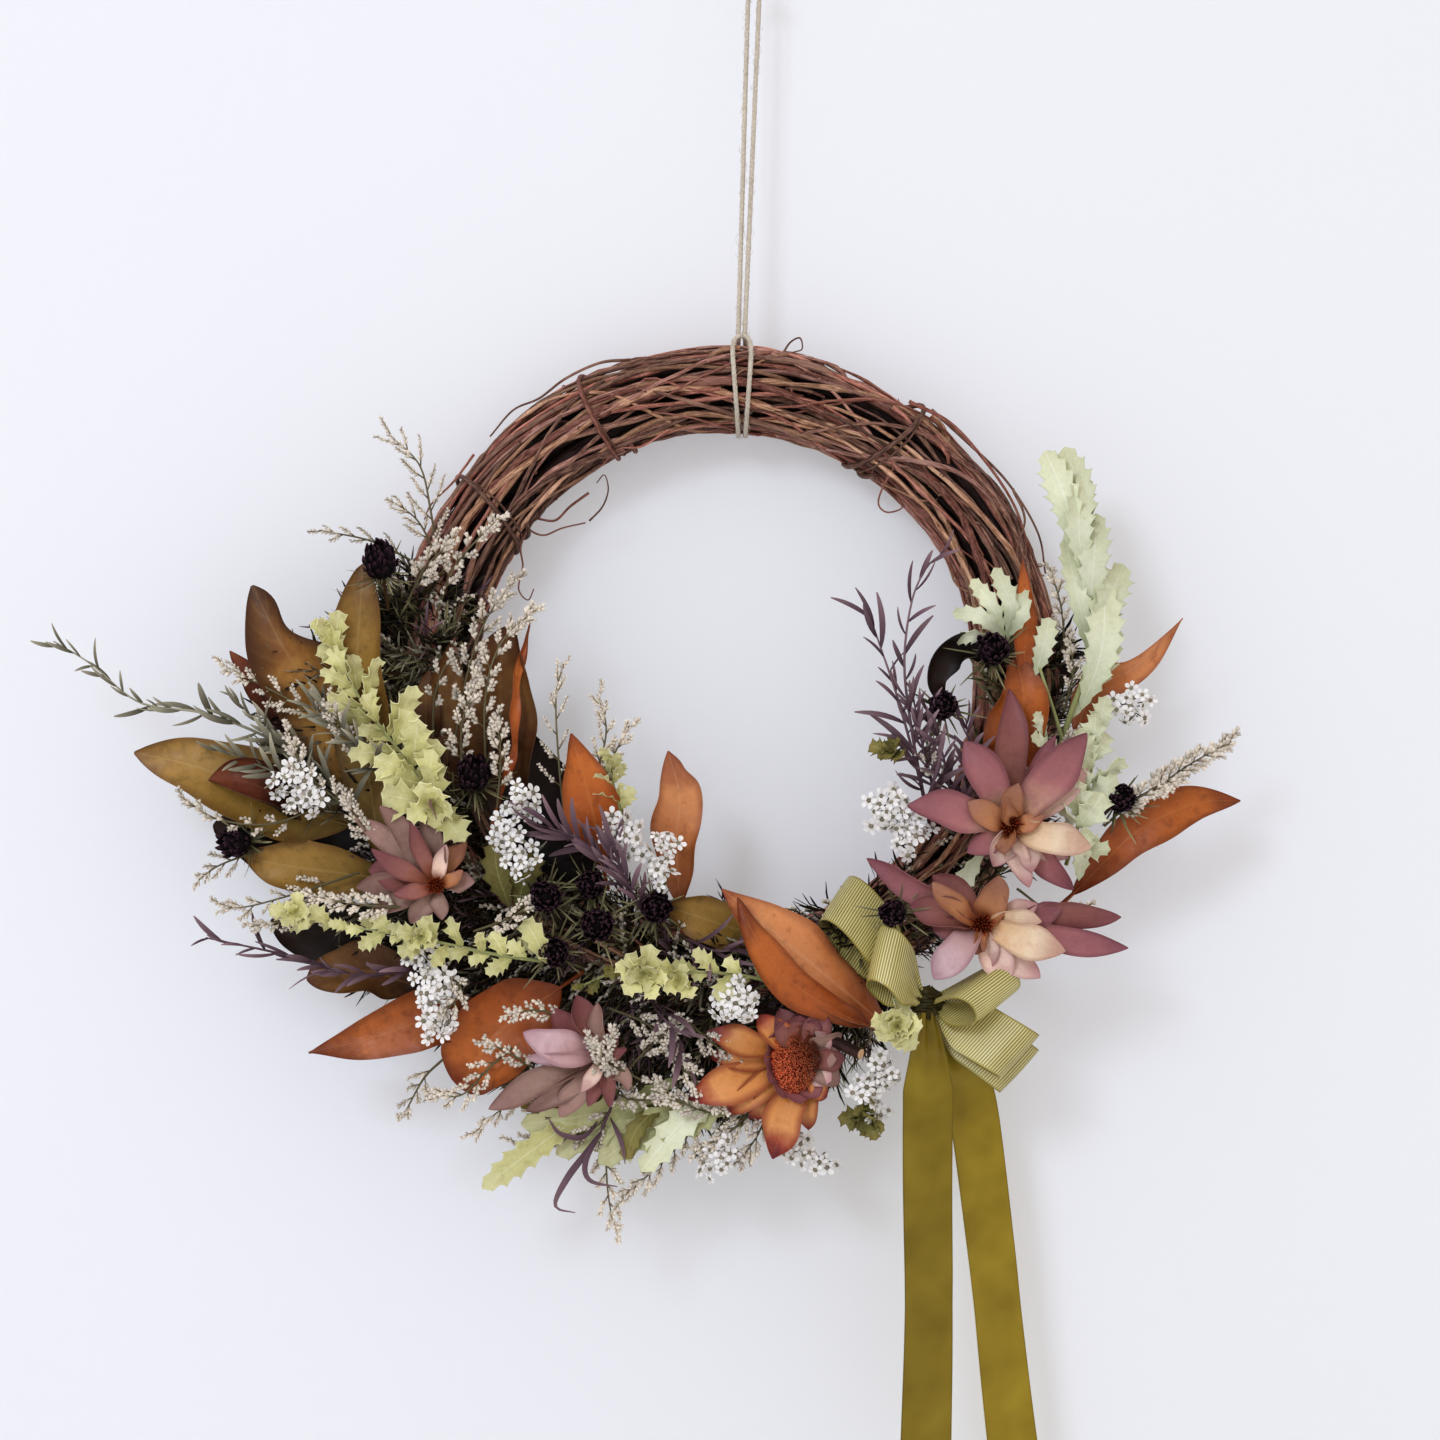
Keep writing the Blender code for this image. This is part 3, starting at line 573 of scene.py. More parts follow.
# A lighter copy of the satin for the right tail: painted light, as if that tail were lit.
SATIN_LIT = ribbon_look("ribbon_satin_painted_lit", "#b6a03e", "#d2bc5c", 0.0, 0.32)
# Near-black ribbon for the tie: painted shade where the loops gather.
PINCH_SHADE = ribbon_look("ribbon_pinch_painted_shade", "#2e270b", "#574a18", 0.0, 0.5)

# What the leaves of one kind have in common
WAXY = dict(rough=(0.34, 0.54), shine=0.34, crinkle=6.0)
TOOTHED = dict(rib_width=0.06, rough=(0.5, 0.7))
BRACT = dict(rib_share=0.08, rough=(0.42, 0.6), veins=0.06)

OCHRE = leaf_look(
    "magnolia_ochre", ((0.0, "#64501f"), (0.4, "#9c7a38"), (0.8, "#a8813c"), (1.0, "#744c1e")),
    rib="#b89a60", rib_share=0.3, edge="#5c3a1a", edge_share=0.55, edge_from=0.55, blotch="#6c5a26",
    blotch_share=0.5, veins=0.25,
    **WAXY,
)
OCHRE_BACK = leaf_look(
    "magnolia_ochre_back", ((0.0, "#5c3c20"), (0.6, "#7c5030"), (1.0, "#5b341c")), rib="#8a6844",
    rib_share=0.3, veins=0.2,
    rough=(0.6, 0.8)
)
GOLDEN = leaf_look(
    "magnolia_golden", ((0.0, "#d8a660"), (0.42, "#cb974a"), (0.72, "#8a5a24"), (1.0, "#4e2c10")),
    rib="#c49c5c", rib_share=0.15, edge="#4c2a14", edge_share=0.9, edge_from=0.25, blotch="#74491e",
    blotch_share=0.5, veins=0.2,
    **WAXY,
)
BROWN = leaf_look(
    "magnolia_brown", ((0.0, "#2e1a10"), (0.4, "#5c381e"), (0.75, "#80582c"), (1.0, "#5a321a")),
    rib="#94703e", rib_share=0.3, edge="#341b0c", blotch="#7a5c2c", blotch_share=0.4, veins=0.2,
    **WAXY,
)
# Near-black leaf: the colour of the darkest leaves and of the backs of the brown and rust leaves, and painted
# shade where these leaves line the gaps behind the filler.
DARK_AND_SHADE = leaf_look(
    "magnolia_dark_and_painted_shade", ((0.0, "#0e0805"), (0.5, "#1c100a"), (1.0, "#30190d")), rib="#3a2214", rib_share=0.3,
    edge="#0a0503",
    blotch="#25170c", blotch_share=0.3, veins=0.2,
)
ORANGE = leaf_look(
    "magnolia_orange", ((0.0, "#863e18"), (0.35, "#b45f26"), (0.75, "#c06c2a"), (1.0, "#803a16")),
    rib="#c68042", rib_share=0.3, edge="#66290e", edge_share=0.45, edge_from=0.6, blotch="#7e401e",
    blotch_share=0.5, veins=0.22,
    rough=(0.34, 0.52), shine=0.38, crinkle=7.0,
)
# A lighter copy of the orange, painted lit, for the orange leaves that face the light.
ORANGE_LIT = leaf_look(
    "magnolia_orange_painted_lit", ((0.0, "#9c5026"), (0.35, "#cf8450"), (0.75, "#d9935c"), (1.0, "#9a5430")),
    rib="#dca478", rib_share=0.3, edge="#7c3a20", edge_share=0.5, edge_from=0.6, blotch="#a45a34",
    blotch_share=0.5, veins=0.2,
    rough=(0.3, 0.5), shine=0.5, crinkle=7.0,
)
ORANGE_BACK = leaf_look(
    "magnolia_orange_back", ((0.0, "#5c2c14"), (0.5, "#7c3e1f"), (1.0, "#5e2c14")), rib="#94583a",
    rib_share=0.3, veins=0.2,
    rough=(0.6, 0.8)
)
RUST = leaf_look(
    "magnolia_rust", ((0.0, "#38180f"), (0.5, "#6e3822"), (1.0, "#8c4c2e")), rib="#94583c", rib_share=0.2,
    edge="#3a160c",
    edge_share=0.6, veins=0.2, blotch="#4a2014", blotch_share=0.5,
)
JAGGED = leaf_look(
    "serrated_green", ((0.0, "#aaa664"), (0.45, "#cfcb8c"), (1.0, "#e0dcaa")), rib="#e6e2ba", rib_share=0.55,
    edge="#e8e4bc", edge_share=0.5, edge_from=0.86, blotch="#a89c5a", blotch_share=0.4, vary=0.2, veins=0.3,
    **TOOTHED,
)
JAGGED_PALE = leaf_look(
    "serrated_pale", ((0.0, "#c2c9a4"), (0.5, "#e0e2c6"), (1.0, "#d6d6b2")), rib="#eeeeda", rib_share=0.5,
    edge="#ccd2ac", edge_share=0.3, blotch="#c2c8a4", blotch_share=0.35, vary=0.16, veins=0.3, **TOOTHED,
)
JAGGED_OLIVE = leaf_look(
    "serrated_olive", ((0.0, "#5e5c2c"), (0.6, "#827c42"), (1.0, "#9a8c50")), rib="#a8a468",
    edge="#5e4c2a", blotch="#6e5230", blotch_share=0.4, **TOOTHED,
)
SAGE = leaf_look(
    "serrated_sage", ((0.0, "#999c66"), (0.5, "#bcbc8a"), (1.0, "#d0cea2")), rib="#dcdab4", rib_share=0.5,
    edge="#a6a478", edge_share=0.35, blotch="#a89c6e", blotch_share=0.4, vary=0.2, veins=0.3, **TOOTHED,
)
MAUVE = leaf_look(
    "bract_mauve", ((0.0, "#d49c6c"), (0.24, "#c79a84"), (0.48, "#b37676"), (1.0, "#8d5760")),
    rib="#a27c7c", edge="#663a46", edge_share=0.45, edge_from=0.6, blotch="#a27270", vary=0.2, **BRACT,
)
PINK = leaf_look(
    "bract_pink", ((0.0, "#d89c70"), (0.22, "#ecccb4"), (0.65, "#e8cbbc"), (1.0, "#bc8c8c")),
    rib="#e6c8b4", edge="#a06c74", edge_share=0.4, edge_from=0.65, blotch="#c69a90", vary=0.16, **BRACT,
)
ROSE = leaf_look(
    "bract_rose", ((0.0, "#9c5836"), (0.35, "#a06a5e"), (1.0, "#865054")), rib="#a87c74",
    edge="#64383e", edge_from=0.6, blotch="#7c4c48", vary=0.22, **BRACT,
)
DUSTY = leaf_look(
    "bract_dusty", ((0.0, "#8a6454"), (0.4, "#b09182"), (1.0, "#a07c74")), rib="#a88a7c",
    edge="#6a4844", edge_from=0.6, blotch="#84645a", vary=0.22, **(BRACT | dict(veins=0.08)),
)
TAWNY = leaf_look(
    "bract_tawny", ((0.0, "#a65a30"), (0.4, "#bb8258"), (1.0, "#a47460")), rib="#cc9c74",
    edge="#86503c", edge_from=0.6, blotch="#9c6644", vary=0.2, **BRACT,
)
CREAM = leaf_look(
    "bract_cream", ((0.0, "#cc8c58"), (0.2, "#e6c298"), (0.6, "#f0dabd"), (1.0, "#c8a090")),
    rib="#ecd2b4", edge="#a8786c", edge_share=0.45, edge_from=0.7, blotch="#d8ac84", vary=0.14, **BRACT,
)
LILAC = leaf_look(
    "bract_lilac", ((0.0, "#b88a80"), (0.3, "#cda6a4"), (0.7, "#d6b9bb"), (1.0, "#b28c94")),
    rib="#dcbcc0", edge="#94606c", edge_share=0.4, edge_from=0.65, blotch="#b08086", vary=0.14, **BRACT,
)
PROTEA = leaf_look(
    "protea_bract", ((0.0, "#ac5a2c"), (0.3, "#dc9450"), (0.66, "#e2a064"), (0.86, "#ac5240"),
        (1.0, "#682232")),
    rib="#dca468", rib_share=0.1, edge="#8e3826", edge_share=0.75, edge_from=0.5, blotch="#b05a26",
    rough=(0.38, 0.55), veins=0.1,
)
FUZZ = plain_look("protea_fuzz", ((0.0, "#5c0f06"), (0.45, "#a03420"), (1.0, "#dc8a60")), 0.6)
HEART = plain_look("leucadendron_heart", ((0.0, "#4a160e"), (0.6, "#8c381c"), (1.0, "#b0562c")), 0.35)
LIMONIUM = plain_look("limonium_floret", ((0.0, "#96866e"), (0.4, "#c6b9a5"), (1.0, "#efe7db")), 0.25,
    speck="#ac9c84")
LIMONIUM_STEM = plain_look("limonium_stem", ((0.0, "#6a6248"), (1.0, "#867c62")), 0.25)
WHITE = plain_look("daisy_petal", ((0.0, "#e4dfd6"), (0.5, "#f3f0ec"), (1.0, "#f6f4f1")), 0.04,
    speck="#d8d2c8", speck_share=0.2)
CENTRE = plain_look("daisy_centre", ((0.0, "#7e7666"), (1.0, "#9c937f")), 0.3, scale=900.0, bump=0.8)
SEED = plain_look("seed_head", ((0.0, "#0b0607"), (0.6, "#20131a"), (1.0, "#4a323c")), 0.4)
NEEDLE = plain_look("needle_leaf", ((0.0, "#4c4a30"), (0.5, "#747050"), (1.0, "#98906e")), 0.4)
# Near-black needles among the filler: painted shade in its gaps.
NEEDLE_SHADE = plain_look("needle_painted_shade", ((0.0, "#15120d"), (0.5, "#2c2820"), (1.0, "#443e32")), 0.4)
NARROW_GREY = plain_look("narrow_grey", ((0.0, "#54503f"), (0.5, "#807b69"), (1.0, "#aea892")), 0.3)
NARROW_MAUVE = plain_look("narrow_mauve", ((0.0, "#4e3a42"), (0.5, "#705860"), (1.0, "#8e767a")), 0.3)
STEM_GREEN = plain_look("stem_green", ((0.0, "#8f9260"), (1.0, "#b4b684")), 0.2)
STEM_BROWN = plain_look("stem_brown", ((0.0, "#4a3420"), (1.0, "#6e5236")), 0.3)

# ---------------------------------------------------------------- small templates, in millimetres


def leaf_template(length, width, rows=6, cols=4, belly=0.4, tip=0.8, base=0.8, bow=0.0, cup=0.3, thick=0.25,
        **more):
    """A leaf along +Y that faces +Z. bow is how far its tip falls back."""
    shares = more.pop("shares", np.linspace(0, 1, rows))
    line = np.stack((0 * shares, shares * length, -bow * shares**2), axis=1)
    half = oval(shares, belly, base, tip) * width / 2
    return blade(line, half, (0, 0, 1), shares, cols, (cup, cup), thick=thick, **more)


def tooth_shares(count):
    """Shares of a toothed leaf's length that fall on the points and notches of its teeth."""
    steps = np.array((0.0, 0.2, 0.36, 0.46, 0.5, 0.54, 0.64, 0.8))
    return np.append(np.concatenate([(k + steps) / count for k in range(count)]), 1.0)


def needle_template(length, width, bend=0.0, rows=5, sides=4, curl=0.0):
    """A narrow leaf with a diamond section; bend curves it out of its plane, curl within it."""
    t = np.linspace(0, 1, rows)
    line = np.stack((curl * t**2, t * length, bend * t**2), axis=1)
    made = tube(line, np.maximum(np.sin(pi * np.clip(t * 0.92 + 0.05, 0, 1)) ** 0.6, 0.1) * width / 2,
        sides, flat=0.35)
    made["along"] = np.concatenate((np.repeat(t, sides), (0.0, 1.0)))
    return made


def floret_template(petals, reach, width, disc, droop):
    """A small open flower that faces +Z: its petals use look 0 and its disc look 1."""
    parts, looks = [], []
    for k in range(petals):
        turn = 2 * pi * k / petals + 0.12 * sin(5 * k)
        petal = leaf_template(reach, width, 6, 4, 0.66, 0.42, 0.7, droop, 0.25, 0.22)
        petal["quad_looks"] = petal["quad_looks"] * 0
        spun = petal["points"] + np.array((0, disc * 0.45, 0))
        c, s = cos(turn), sin(turn)
        petal["points"] = spun @ np.array(((c, s, 0), (-s, c, 0), (0, 0, 1.0)))
        parts.append(petal)
        looks.append(0)
    t = np.linspace(0, 1, 4)
    dome = tube(np.stack((0 * t, 0 * t, -0.4 + t * disc * 0.9), axis=1),
        disc * np.cos(t * pi / 2 * 0.92) ** 0.6, 8)
    dome["along"] = np.clip(dome["points"][:, 2] / disc, 0, 1)
    parts.append(dome)
    looks.append(1)
    return joined(parts, looks)


def calyx_template(length, mouth, lobes=5):
    """A papery funnel along +Y with a scalloped mouth."""
    rows = ((0.0, 0.2), (0.35, 0.55), (0.75, 0.95), (1.0, 0.85))
    turn = np.linspace(0, 2 * pi, lobes * 2, endpoint=False)
    points, along = [], []
    for share, wide in rows:
        flare = mouth / 2 * wide * (1 + (0.18 * np.cos(lobes * turn) if share == 1.0 else 0))
        lift = length * share + (0.35 * np.cos(lobes * turn) if share == 1.0 else 0)
        points.append(np.stack((flare * np.cos(turn), 0 * turn + lift, flare * np.sin(turn)), axis=1))
        along += [share] * len(turn)
    count = lobes * 2
    points.append(np.array(((0, 0, 0), (0, length * 0.55, 0))))
    along += [0.0, 0.45]
    k = np.arange(count)
    after = (k + 1) % count
    last = 3 * count
    tris = np.vstack((
        np.stack((np.full(count, 4 * count), k, after), axis=1),
        np.stack((np.full(count, 4 * count + 1), last + after, last + k), axis=1),
    ))
    return patch_of(np.vstack(points), grid_quads(4, count, wrap=True)[:, ::-1], np.array(along), 0.0, tris)


NEEDLES = [needle_template(14, 1.1, 2.5), needle_template(11, 1.0, -1.5), needle_template(18, 1.1, 4.5)]
NARROWS = [
    needle_template(19, 2.5, 2.0, 8, curl=4.5), needle_template(24, 2.7, -3.0, 8, curl=-7.0),
    needle_template(15, 2.3, 2.5, 8, curl=-3.0),
    needle_template(20, 2.9, 2.5, 8, curl=6.0), needle_template(17, 3.1, -2.0, 8, curl=1.5),
]
SLIVERS = [needle_template(13, 1.5, 2.5, 4, 3), needle_template(10, 1.3, -1.5, 4, 3),
    needle_template(16, 1.6, 3.5, 4, 3)]
DAISIES = [floret_template(6, 4.0, 2.5, 1.5, 0.5), floret_template(5, 4.2, 2.9, 1.5, -0.4),
    floret_template(6, 3.7, 2.4, 1.4, 1.3)]
CALYXES = [calyx_template(3.4, 2.0), calyx_template(2.9, 1.7)]
SCALE = leaf_template(4.6, 2.0, 5, 2, 0.35, 1.1, 0.6, -0.6, 0.3, 0.5)
CONE_SCALE = leaf_template(5.4, 3.2, 5, 4, 0.45, 0.8, 0.6, 1.6, 0.5, 0.7)


def jagged_leaf(length, width, teeth, depth, belly, tip, bow, cup, wave):
    more = dict(shares=tooth_shares(teeth), teeth=(teeth, depth, 0.25), wave=wave)
    return leaf_template(length, width, belly=belly, tip=tip, bow=bow, cup=cup, thick=0.4, **more)


JAGGED_LEAVES = [
    jagged_leaf(19, 16, 4, 0.46, 0.6, 0.6, 2.5, 0.5, (1.6, 2.1, 0.1)),
    jagged_leaf(22, 15, 5, 0.44, 0.55, 0.6, -2.5, 0.3, (1.8, 2.6, 0.6)),
    jagged_leaf(16, 15, 3, 0.46, 0.6, 0.5, 3.5, 0.7, (1.4, 1.6, 0.3)),
]

# ---------------------------------------------------------------- the vine ring


def bundle(angle, lay, turn):
    """A point near the ring's bundle, at the distance lay from its middle and the angle turn round it."""
    out = RING_RADIUS + lay * np.cos(turn)
    points = np.stack((out * np.cos(angle), -lay * np.sin(turn), out * np.sin(angle)), axis=-1)
    return RING + points * MM


def wobble(angle, size, waves=(2, 5)):
    """A smooth random wander along the ring."""
    total = 0 * angle
    for _ in range(3):
        total = total + np.sin(rng.uniform(*waves) * angle + rng.uniform(0, 2 * pi)) / 3
    return size * total


def vine(shape, start, sweep, lay, turn, twist, radius, look, tint, wander=2.0):
    """One vine that runs round the ring from the angle start, by sweep, and turns round the bundle."""
    count = max(12, int(abs(sweep) * RING_RADIUS / 4.6))
    angle = np.linspace(start, start + sweep, count)
    depth = np.clip(lay + wobble(angle, wander, (3, 9)) + wobble(angle, 0.35, (30, 60)), 0,
        BUNDLE_RADIUS + 0.8 - radius)
    if lay > 15:
        tuck = np.minimum(np.linspace(0, 1, count), np.linspace(1, 0, count))
        depth = depth - 8 * np.clip(1 - tuck / 0.06, 0, 1) ** 2
    line = bundle(angle, depth, turn + twist * angle + wobble(angle, 0.16 * wander, (3, 8)) + wobble(angle,
        0.02, (25, 50)))
    swell = 1 + 0.14 * np.sin(angle * rng.uniform(30, 50)) * np.sin(angle * 17 + tint * 9)
    for joint in rng.uniform(start, start + sweep, max(1, int(abs(sweep) * 2.6))):
        swell = swell + 0.5 * np.exp(-(((angle - joint) * RING_RADIUS / 3.6) ** 2))
    taper = np.interp(np.linspace(0, 1, count), (0, 0.03, 0.8, 1), (0.85, 1, 0.95, 0.5))
    shape.add(tube(line, radius * MM * swell * taper, 6), tint, look)


INNER_VINES, OUTER_VINES, LOOSE_VINES, CURLS = 40, 92, 60, 150
# The bark after the outer vines' kinds is near-black: painted shade for the vines deep inside the bundle.
BARK_KINDS = 4  # the looks in BARK that an outer vine can have; after them come the deep bark and cut wood


def build_ring():
    shape = Shape()
    # The inner vines all wear the near-black bark: painted shade inside the bundle.
    for k in range(INNER_VINES):
        lay = 16.0 * (k / INNER_VINES) ** 0.5
        vine(shape, rng.uniform(0, 2 * pi), 2 * pi * rng.uniform(0.7, 1.02), lay, rng.uniform(0, 2 * pi),
             rng.choice((-1, 1)) * rng.uniform(0.1, 0.7), rng.uniform(1.6, 2.6), 4, rng.uniform(0.05, 0.6))
    inner = shape.object("vine_bundle", BARK)
    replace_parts(inner, "vine_core")
    shape = Shape()
    for k in range(OUTER_VINES):
        radius = rng.uniform(0.9, 1.7) if k % 6 else rng.uniform(1.7, 2.3)
        lay = BUNDLE_RADIUS - radius * rng.uniform(0.6, 3.0)
        look = int(rng.choice((0, 0, 1, 1, 2, 3)))
        twist = rng.choice((-1, 1, 1)) * rng.uniform(0.1, 0.9)
        vine(shape, rng.uniform(0, 2 * pi), 2 * pi * rng.uniform(0.3, 0.85), lay, 2 * pi * k * 0.618, twist,
            radius, look,
             rng.uniform(0.0, 1.0))
    outer = shape.object("vine_outer", BARK)
    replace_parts(outer, *[f"vine_strand_{k}" for k in (1, 2, 3, 4)])
    shape = Shape()
    for _ in range(LOOSE_VINES):
        vine(shape, rng.uniform(0, 2 * pi), 2 * pi * rng.uniform(0.06, 0.22), 22.2, rng.uniform(0, 2 * pi),
             rng.choice((-1, 1)) * rng.uniform(1.0, 4.5), rng.uniform(0.5, 1.35),
             int(rng.integers(0, BARK_KINDS)), rng.uniform(0.2, 1.0), 3.2)
    for _ in range(CURLS):
        angle, turn = rng.uniform(0, 2 * pi), rng.uniform(0, 2 * pi)
        begin = bundle(angle, 19.5, turn)
        outward = unit(bundle(angle, 24.0, turn) - begin)
        ahead = unit(bundle(angle + 0.05, 19.5, turn) - begin) * rng.choice((-1, 1))
        curl = np.linspace(0, rng.uniform(2.5, 6.5), 14)[:, None]
        reach = rng.uniform(1.2, 3.2) * np.linspace(0.3, 1, 14)[:, None]
        line = begin + (outward * (2.5 + reach * np.sin(curl)) + ahead
            * (curl * 1.1 + reach * np.cos(curl))) * MM
        line = line + np.cross(outward, ahead) * np.linspace(0, rng.uniform(-3, 3), 14)[:, None] * MM
        if line[:, 1].max() > WALL_Y - 0.002:
            continue
        shape.add(tube(line, np.linspace(0.55, 0.25, 14) * MM, 4), rng.uniform(0.1, 0.9),
            int(rng.integers(0, 3)))
    shape.object("vine_loose", BARK)


def build_wraps():
    for number, (spot, slope, radius) in enumerate(((142, 0.9, 1.3), (112, -0.5, 1.2), (54, 1.2, 1.4)), 1):
        shape = Shape()
        turn = np.linspace(0, 2 * pi * 1.12, 46)
        angle = radians(spot) + slope * np.sin(turn) * 0.055 + turn * 0.012
        lay = BUNDLE_RADIUS + 0.1 + radius + 0.25 * np.sin(turn * 3 + number)
        shape.add(tube(bundle(angle, lay, turn + 2.6), radius * MM, 7), 0.3, number % 2)
        turn = np.linspace(0, 2 * pi * 0.8, 34)
        angle = radians(spot) + 0.05 - slope * np.sin(turn + 1) * 0.06
        shape.add(tube(bundle(angle, BUNDLE_RADIUS + 0.5, turn + 0.7), 0.6 * MM, 6), 0.6, 1)
        wrap = shape.object(f"vine_binding_{number}", BARK)
        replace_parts(wrap, f"vine_wrap_{number}")


# Curly tendrils and loose shoots: stops (x, z, depth), radius at the base
TENDRILS = (
    (((-72, 98, 14), (-82, 91, 10), (-90, 84, 6), (-101, 85, 4), (-104, 80, 8), (-96, 76, 10), (-86, 80, 6),
        (-74, 83, 2)), 0.75),
    (((-72, 84, 2), (-66, 90, 4), (-63, 96, 2), (-62, 102, 4), (-64, 108, 6), (-68, 104, 4)), 0.55),
    (((-104, 80, 8), (-108, 70, 6), (-107, 60, 4), (-109, 48, 8), (-104, 42, 10), (-101, 48, 6)), 0.6),
    (((30, 172, 6), (34, 178, 4), (39, 180, 6), (40, 174, 8), (35, 172, 8), (36, 168, 10)), 0.6),
    (((96, 120, 20), (86, 108, 16), (80, 94, 12), (84, 88, 14), (92, 90, 16), (90, 96, 14)), 0.7),
    (((-50, 168, 12), (-66, 166, 16), (-84, 158, 14), (-98, 148, 10), (-112, 142, 6), (-124, 128, 8)), 0.9),
    (((96, 146, 14), (118, 134, 16), (138, 112, 14), (152, 90, 12), (160, 66, 10)), 1.1),
    (((108, 142, 10), (128, 124, 8), (148, 104, 8), (164, 78, 6), (168, 56, 8)), 0.9),
    (((-132, 118, 16), (-142, 104, 20), (-154, 92, 18), (-158, 84, 14)), 0.8),
    (((150, 100, 18), (156, 84, 22), (152, 66, 24), (160, 50, 22)), 0.8),
    (((-30, 131, 18), (-44, 122, 20), (-56, 121, 14), (-66, 112, 8)), 0.7),
    (((60, 128, 20), (76, 124, 22), (90, 112, 20), (100, 98, 14)), 0.7),
)


def cut_end(line, back, out):
    """The two ends of a disc of pale wood on the end of a cut vine."""
    ahead = unit(line[-1] - line[-2])
    return np.stack((line[-1] - ahead * back * MM, line[-1] + ahead * out * MM))


def build_tendrils():
    shape = Shape()
    for number, (stops, radius) in enumerate(TENDRILS):
        line = route(places(stops), 60)
        shape.add(tube(line, np.linspace(1, 0.5, 60) * radius * MM, 6), 0.3 + 0.05 * number, number % 2)
    for k in range(26):
        angle = radians(rng.uniform(-20, 200)) if k % 2 else rng.uniform(0, 2 * pi)
        turn = rng.uniform(0, 2 * pi)
        begin = bundle(angle, 18.0, turn)
        outward = unit(bundle(angle, 22.0, turn) - begin)
        ahead = unit(bundle(angle + 0.05 * rng.choice((-1, 1)), 18.0, turn) - begin)
        tip = begin + (outward * rng.uniform(4, 6.5) + ahead * rng.uniform(10, 22)) * MM
        if tip[1] > WALL_Y - 0.004:
            continue
        line = route((begin, (begin + tip) / 2 + outward * 2 * MM, tip), 8)
        radius = rng.uniform(0.8, 1.9)
        shape.add(tube(line, radius * MM, 7), rng.uniform(0.3, 0.9), int(rng.integers(0, 3)))
        shape.add(tube(cut_end(line, 0.1, 0.12), radius * 0.93 * MM, 9), 0.5, 5)
    # The thick cut stem behind the protea wears the near-black bark: painted shade, with only its cut end
    # pale.
    line = route(places(((14, -170, 34), (46, -182, 50), (66, -191, 58), (69, -192, 60))), 20)
    shape.add(tube(line, 3.0 * MM, 10), 0.5, 4)
    shape.add(tube(cut_end(line, 0.2, 0.2), 2.7 * MM, 14), 0.5, 5)
    shape.object("vine_tendrils", BARK)


# ---------------------------------------------------------------- the jute hanger

TWINE = 2.6
TWINE_LAY = 9.0  # length in which the twine's three yarns turn once
HITCH_X = 8.4
HITCH_Z = (RING_RADIUS**2 - HITCH_X**2) ** 0.5
HITCH_RADIUS = BUNDLE_RADIUS + 0.5 + TWINE / 2
KNOT_Z = -22.1


def twine(line, shape):
    """Three-ply twine along a line."""
    sides = 15
    run = run_along(line) / MM
    turn = np.linspace(0, 2 * pi, sides, endpoint=False)[None, :]
    lobes = np.abs(np.cos(1.5 * (turn - run[:, None] * 2 * pi / TWINE_LAY)))
    loose = 1 + 0.03 * np.sin(run * 0.9)[:, None]
    shape.add(tube(line, TWINE / 2 * MM, sides, (0.80 + 0.22 * lobes) * loose))


def fibres(shape, line, count, reach):
    """Stray fibres that stand off the twine."""
    for _ in range(count):
        k = int(rng.integers(2, len(line) - 3))
        off = any_way()
        off = off - unit(line[k + 1] - line[k]) * (off @ unit(line[k + 1] - line[k]))
        begin = line[k] + unit(off) * TWINE * 0.42 * MM
        ahead = unit(line[k + 1] - line[k]) * rng.choice((-1, 1))
        end = begin + (ahead * rng.uniform(1.5, reach) + unit(off) * rng.uniform(0.5, 1.8)) * MM
        middle = (begin + end) / 2 + unit(off) * rng.uniform(0, 0.8) * MM
        shape.add(tube(route((begin, middle, end), 5), 0.09 * MM, 4), 0.8)


def hitch_point(side, rise, depth):
    return at(HITCH_X + side, HITCH_Z + rise, depth)


def around_bundle(side, turn):
    """A point on the hitch: 0 degrees is the bundle's top, 90 its front, 180 its underside."""
    return hitch_point(side, HITCH_RADIUS * cos(radians(turn)), HITCH_RADIUS * sin(radians(turn)))


def hitch_half(side):
    """Half of the lark's head, from the foot of one leg round the bundle to its shoulder."""
    return [
        hitch_point(side * 1.75, 29.0, 5.4),
        hitch_point(side * 1.8, 26.0, 2.6),
        *[around_bundle(side * 1.95, turn) for turn in (-12, -50, -95, -140)],
        around_bundle(side * 1.8, 180),
        around_bundle(side * 2.2, 145),
        around_bundle(side * 3.2, 105),
        around_bundle(side * 4.4, 65),
        around_bundle(side * 4.8, 38),
        hitch_point(side * 3.9, 25.2, 11.6),
    ]


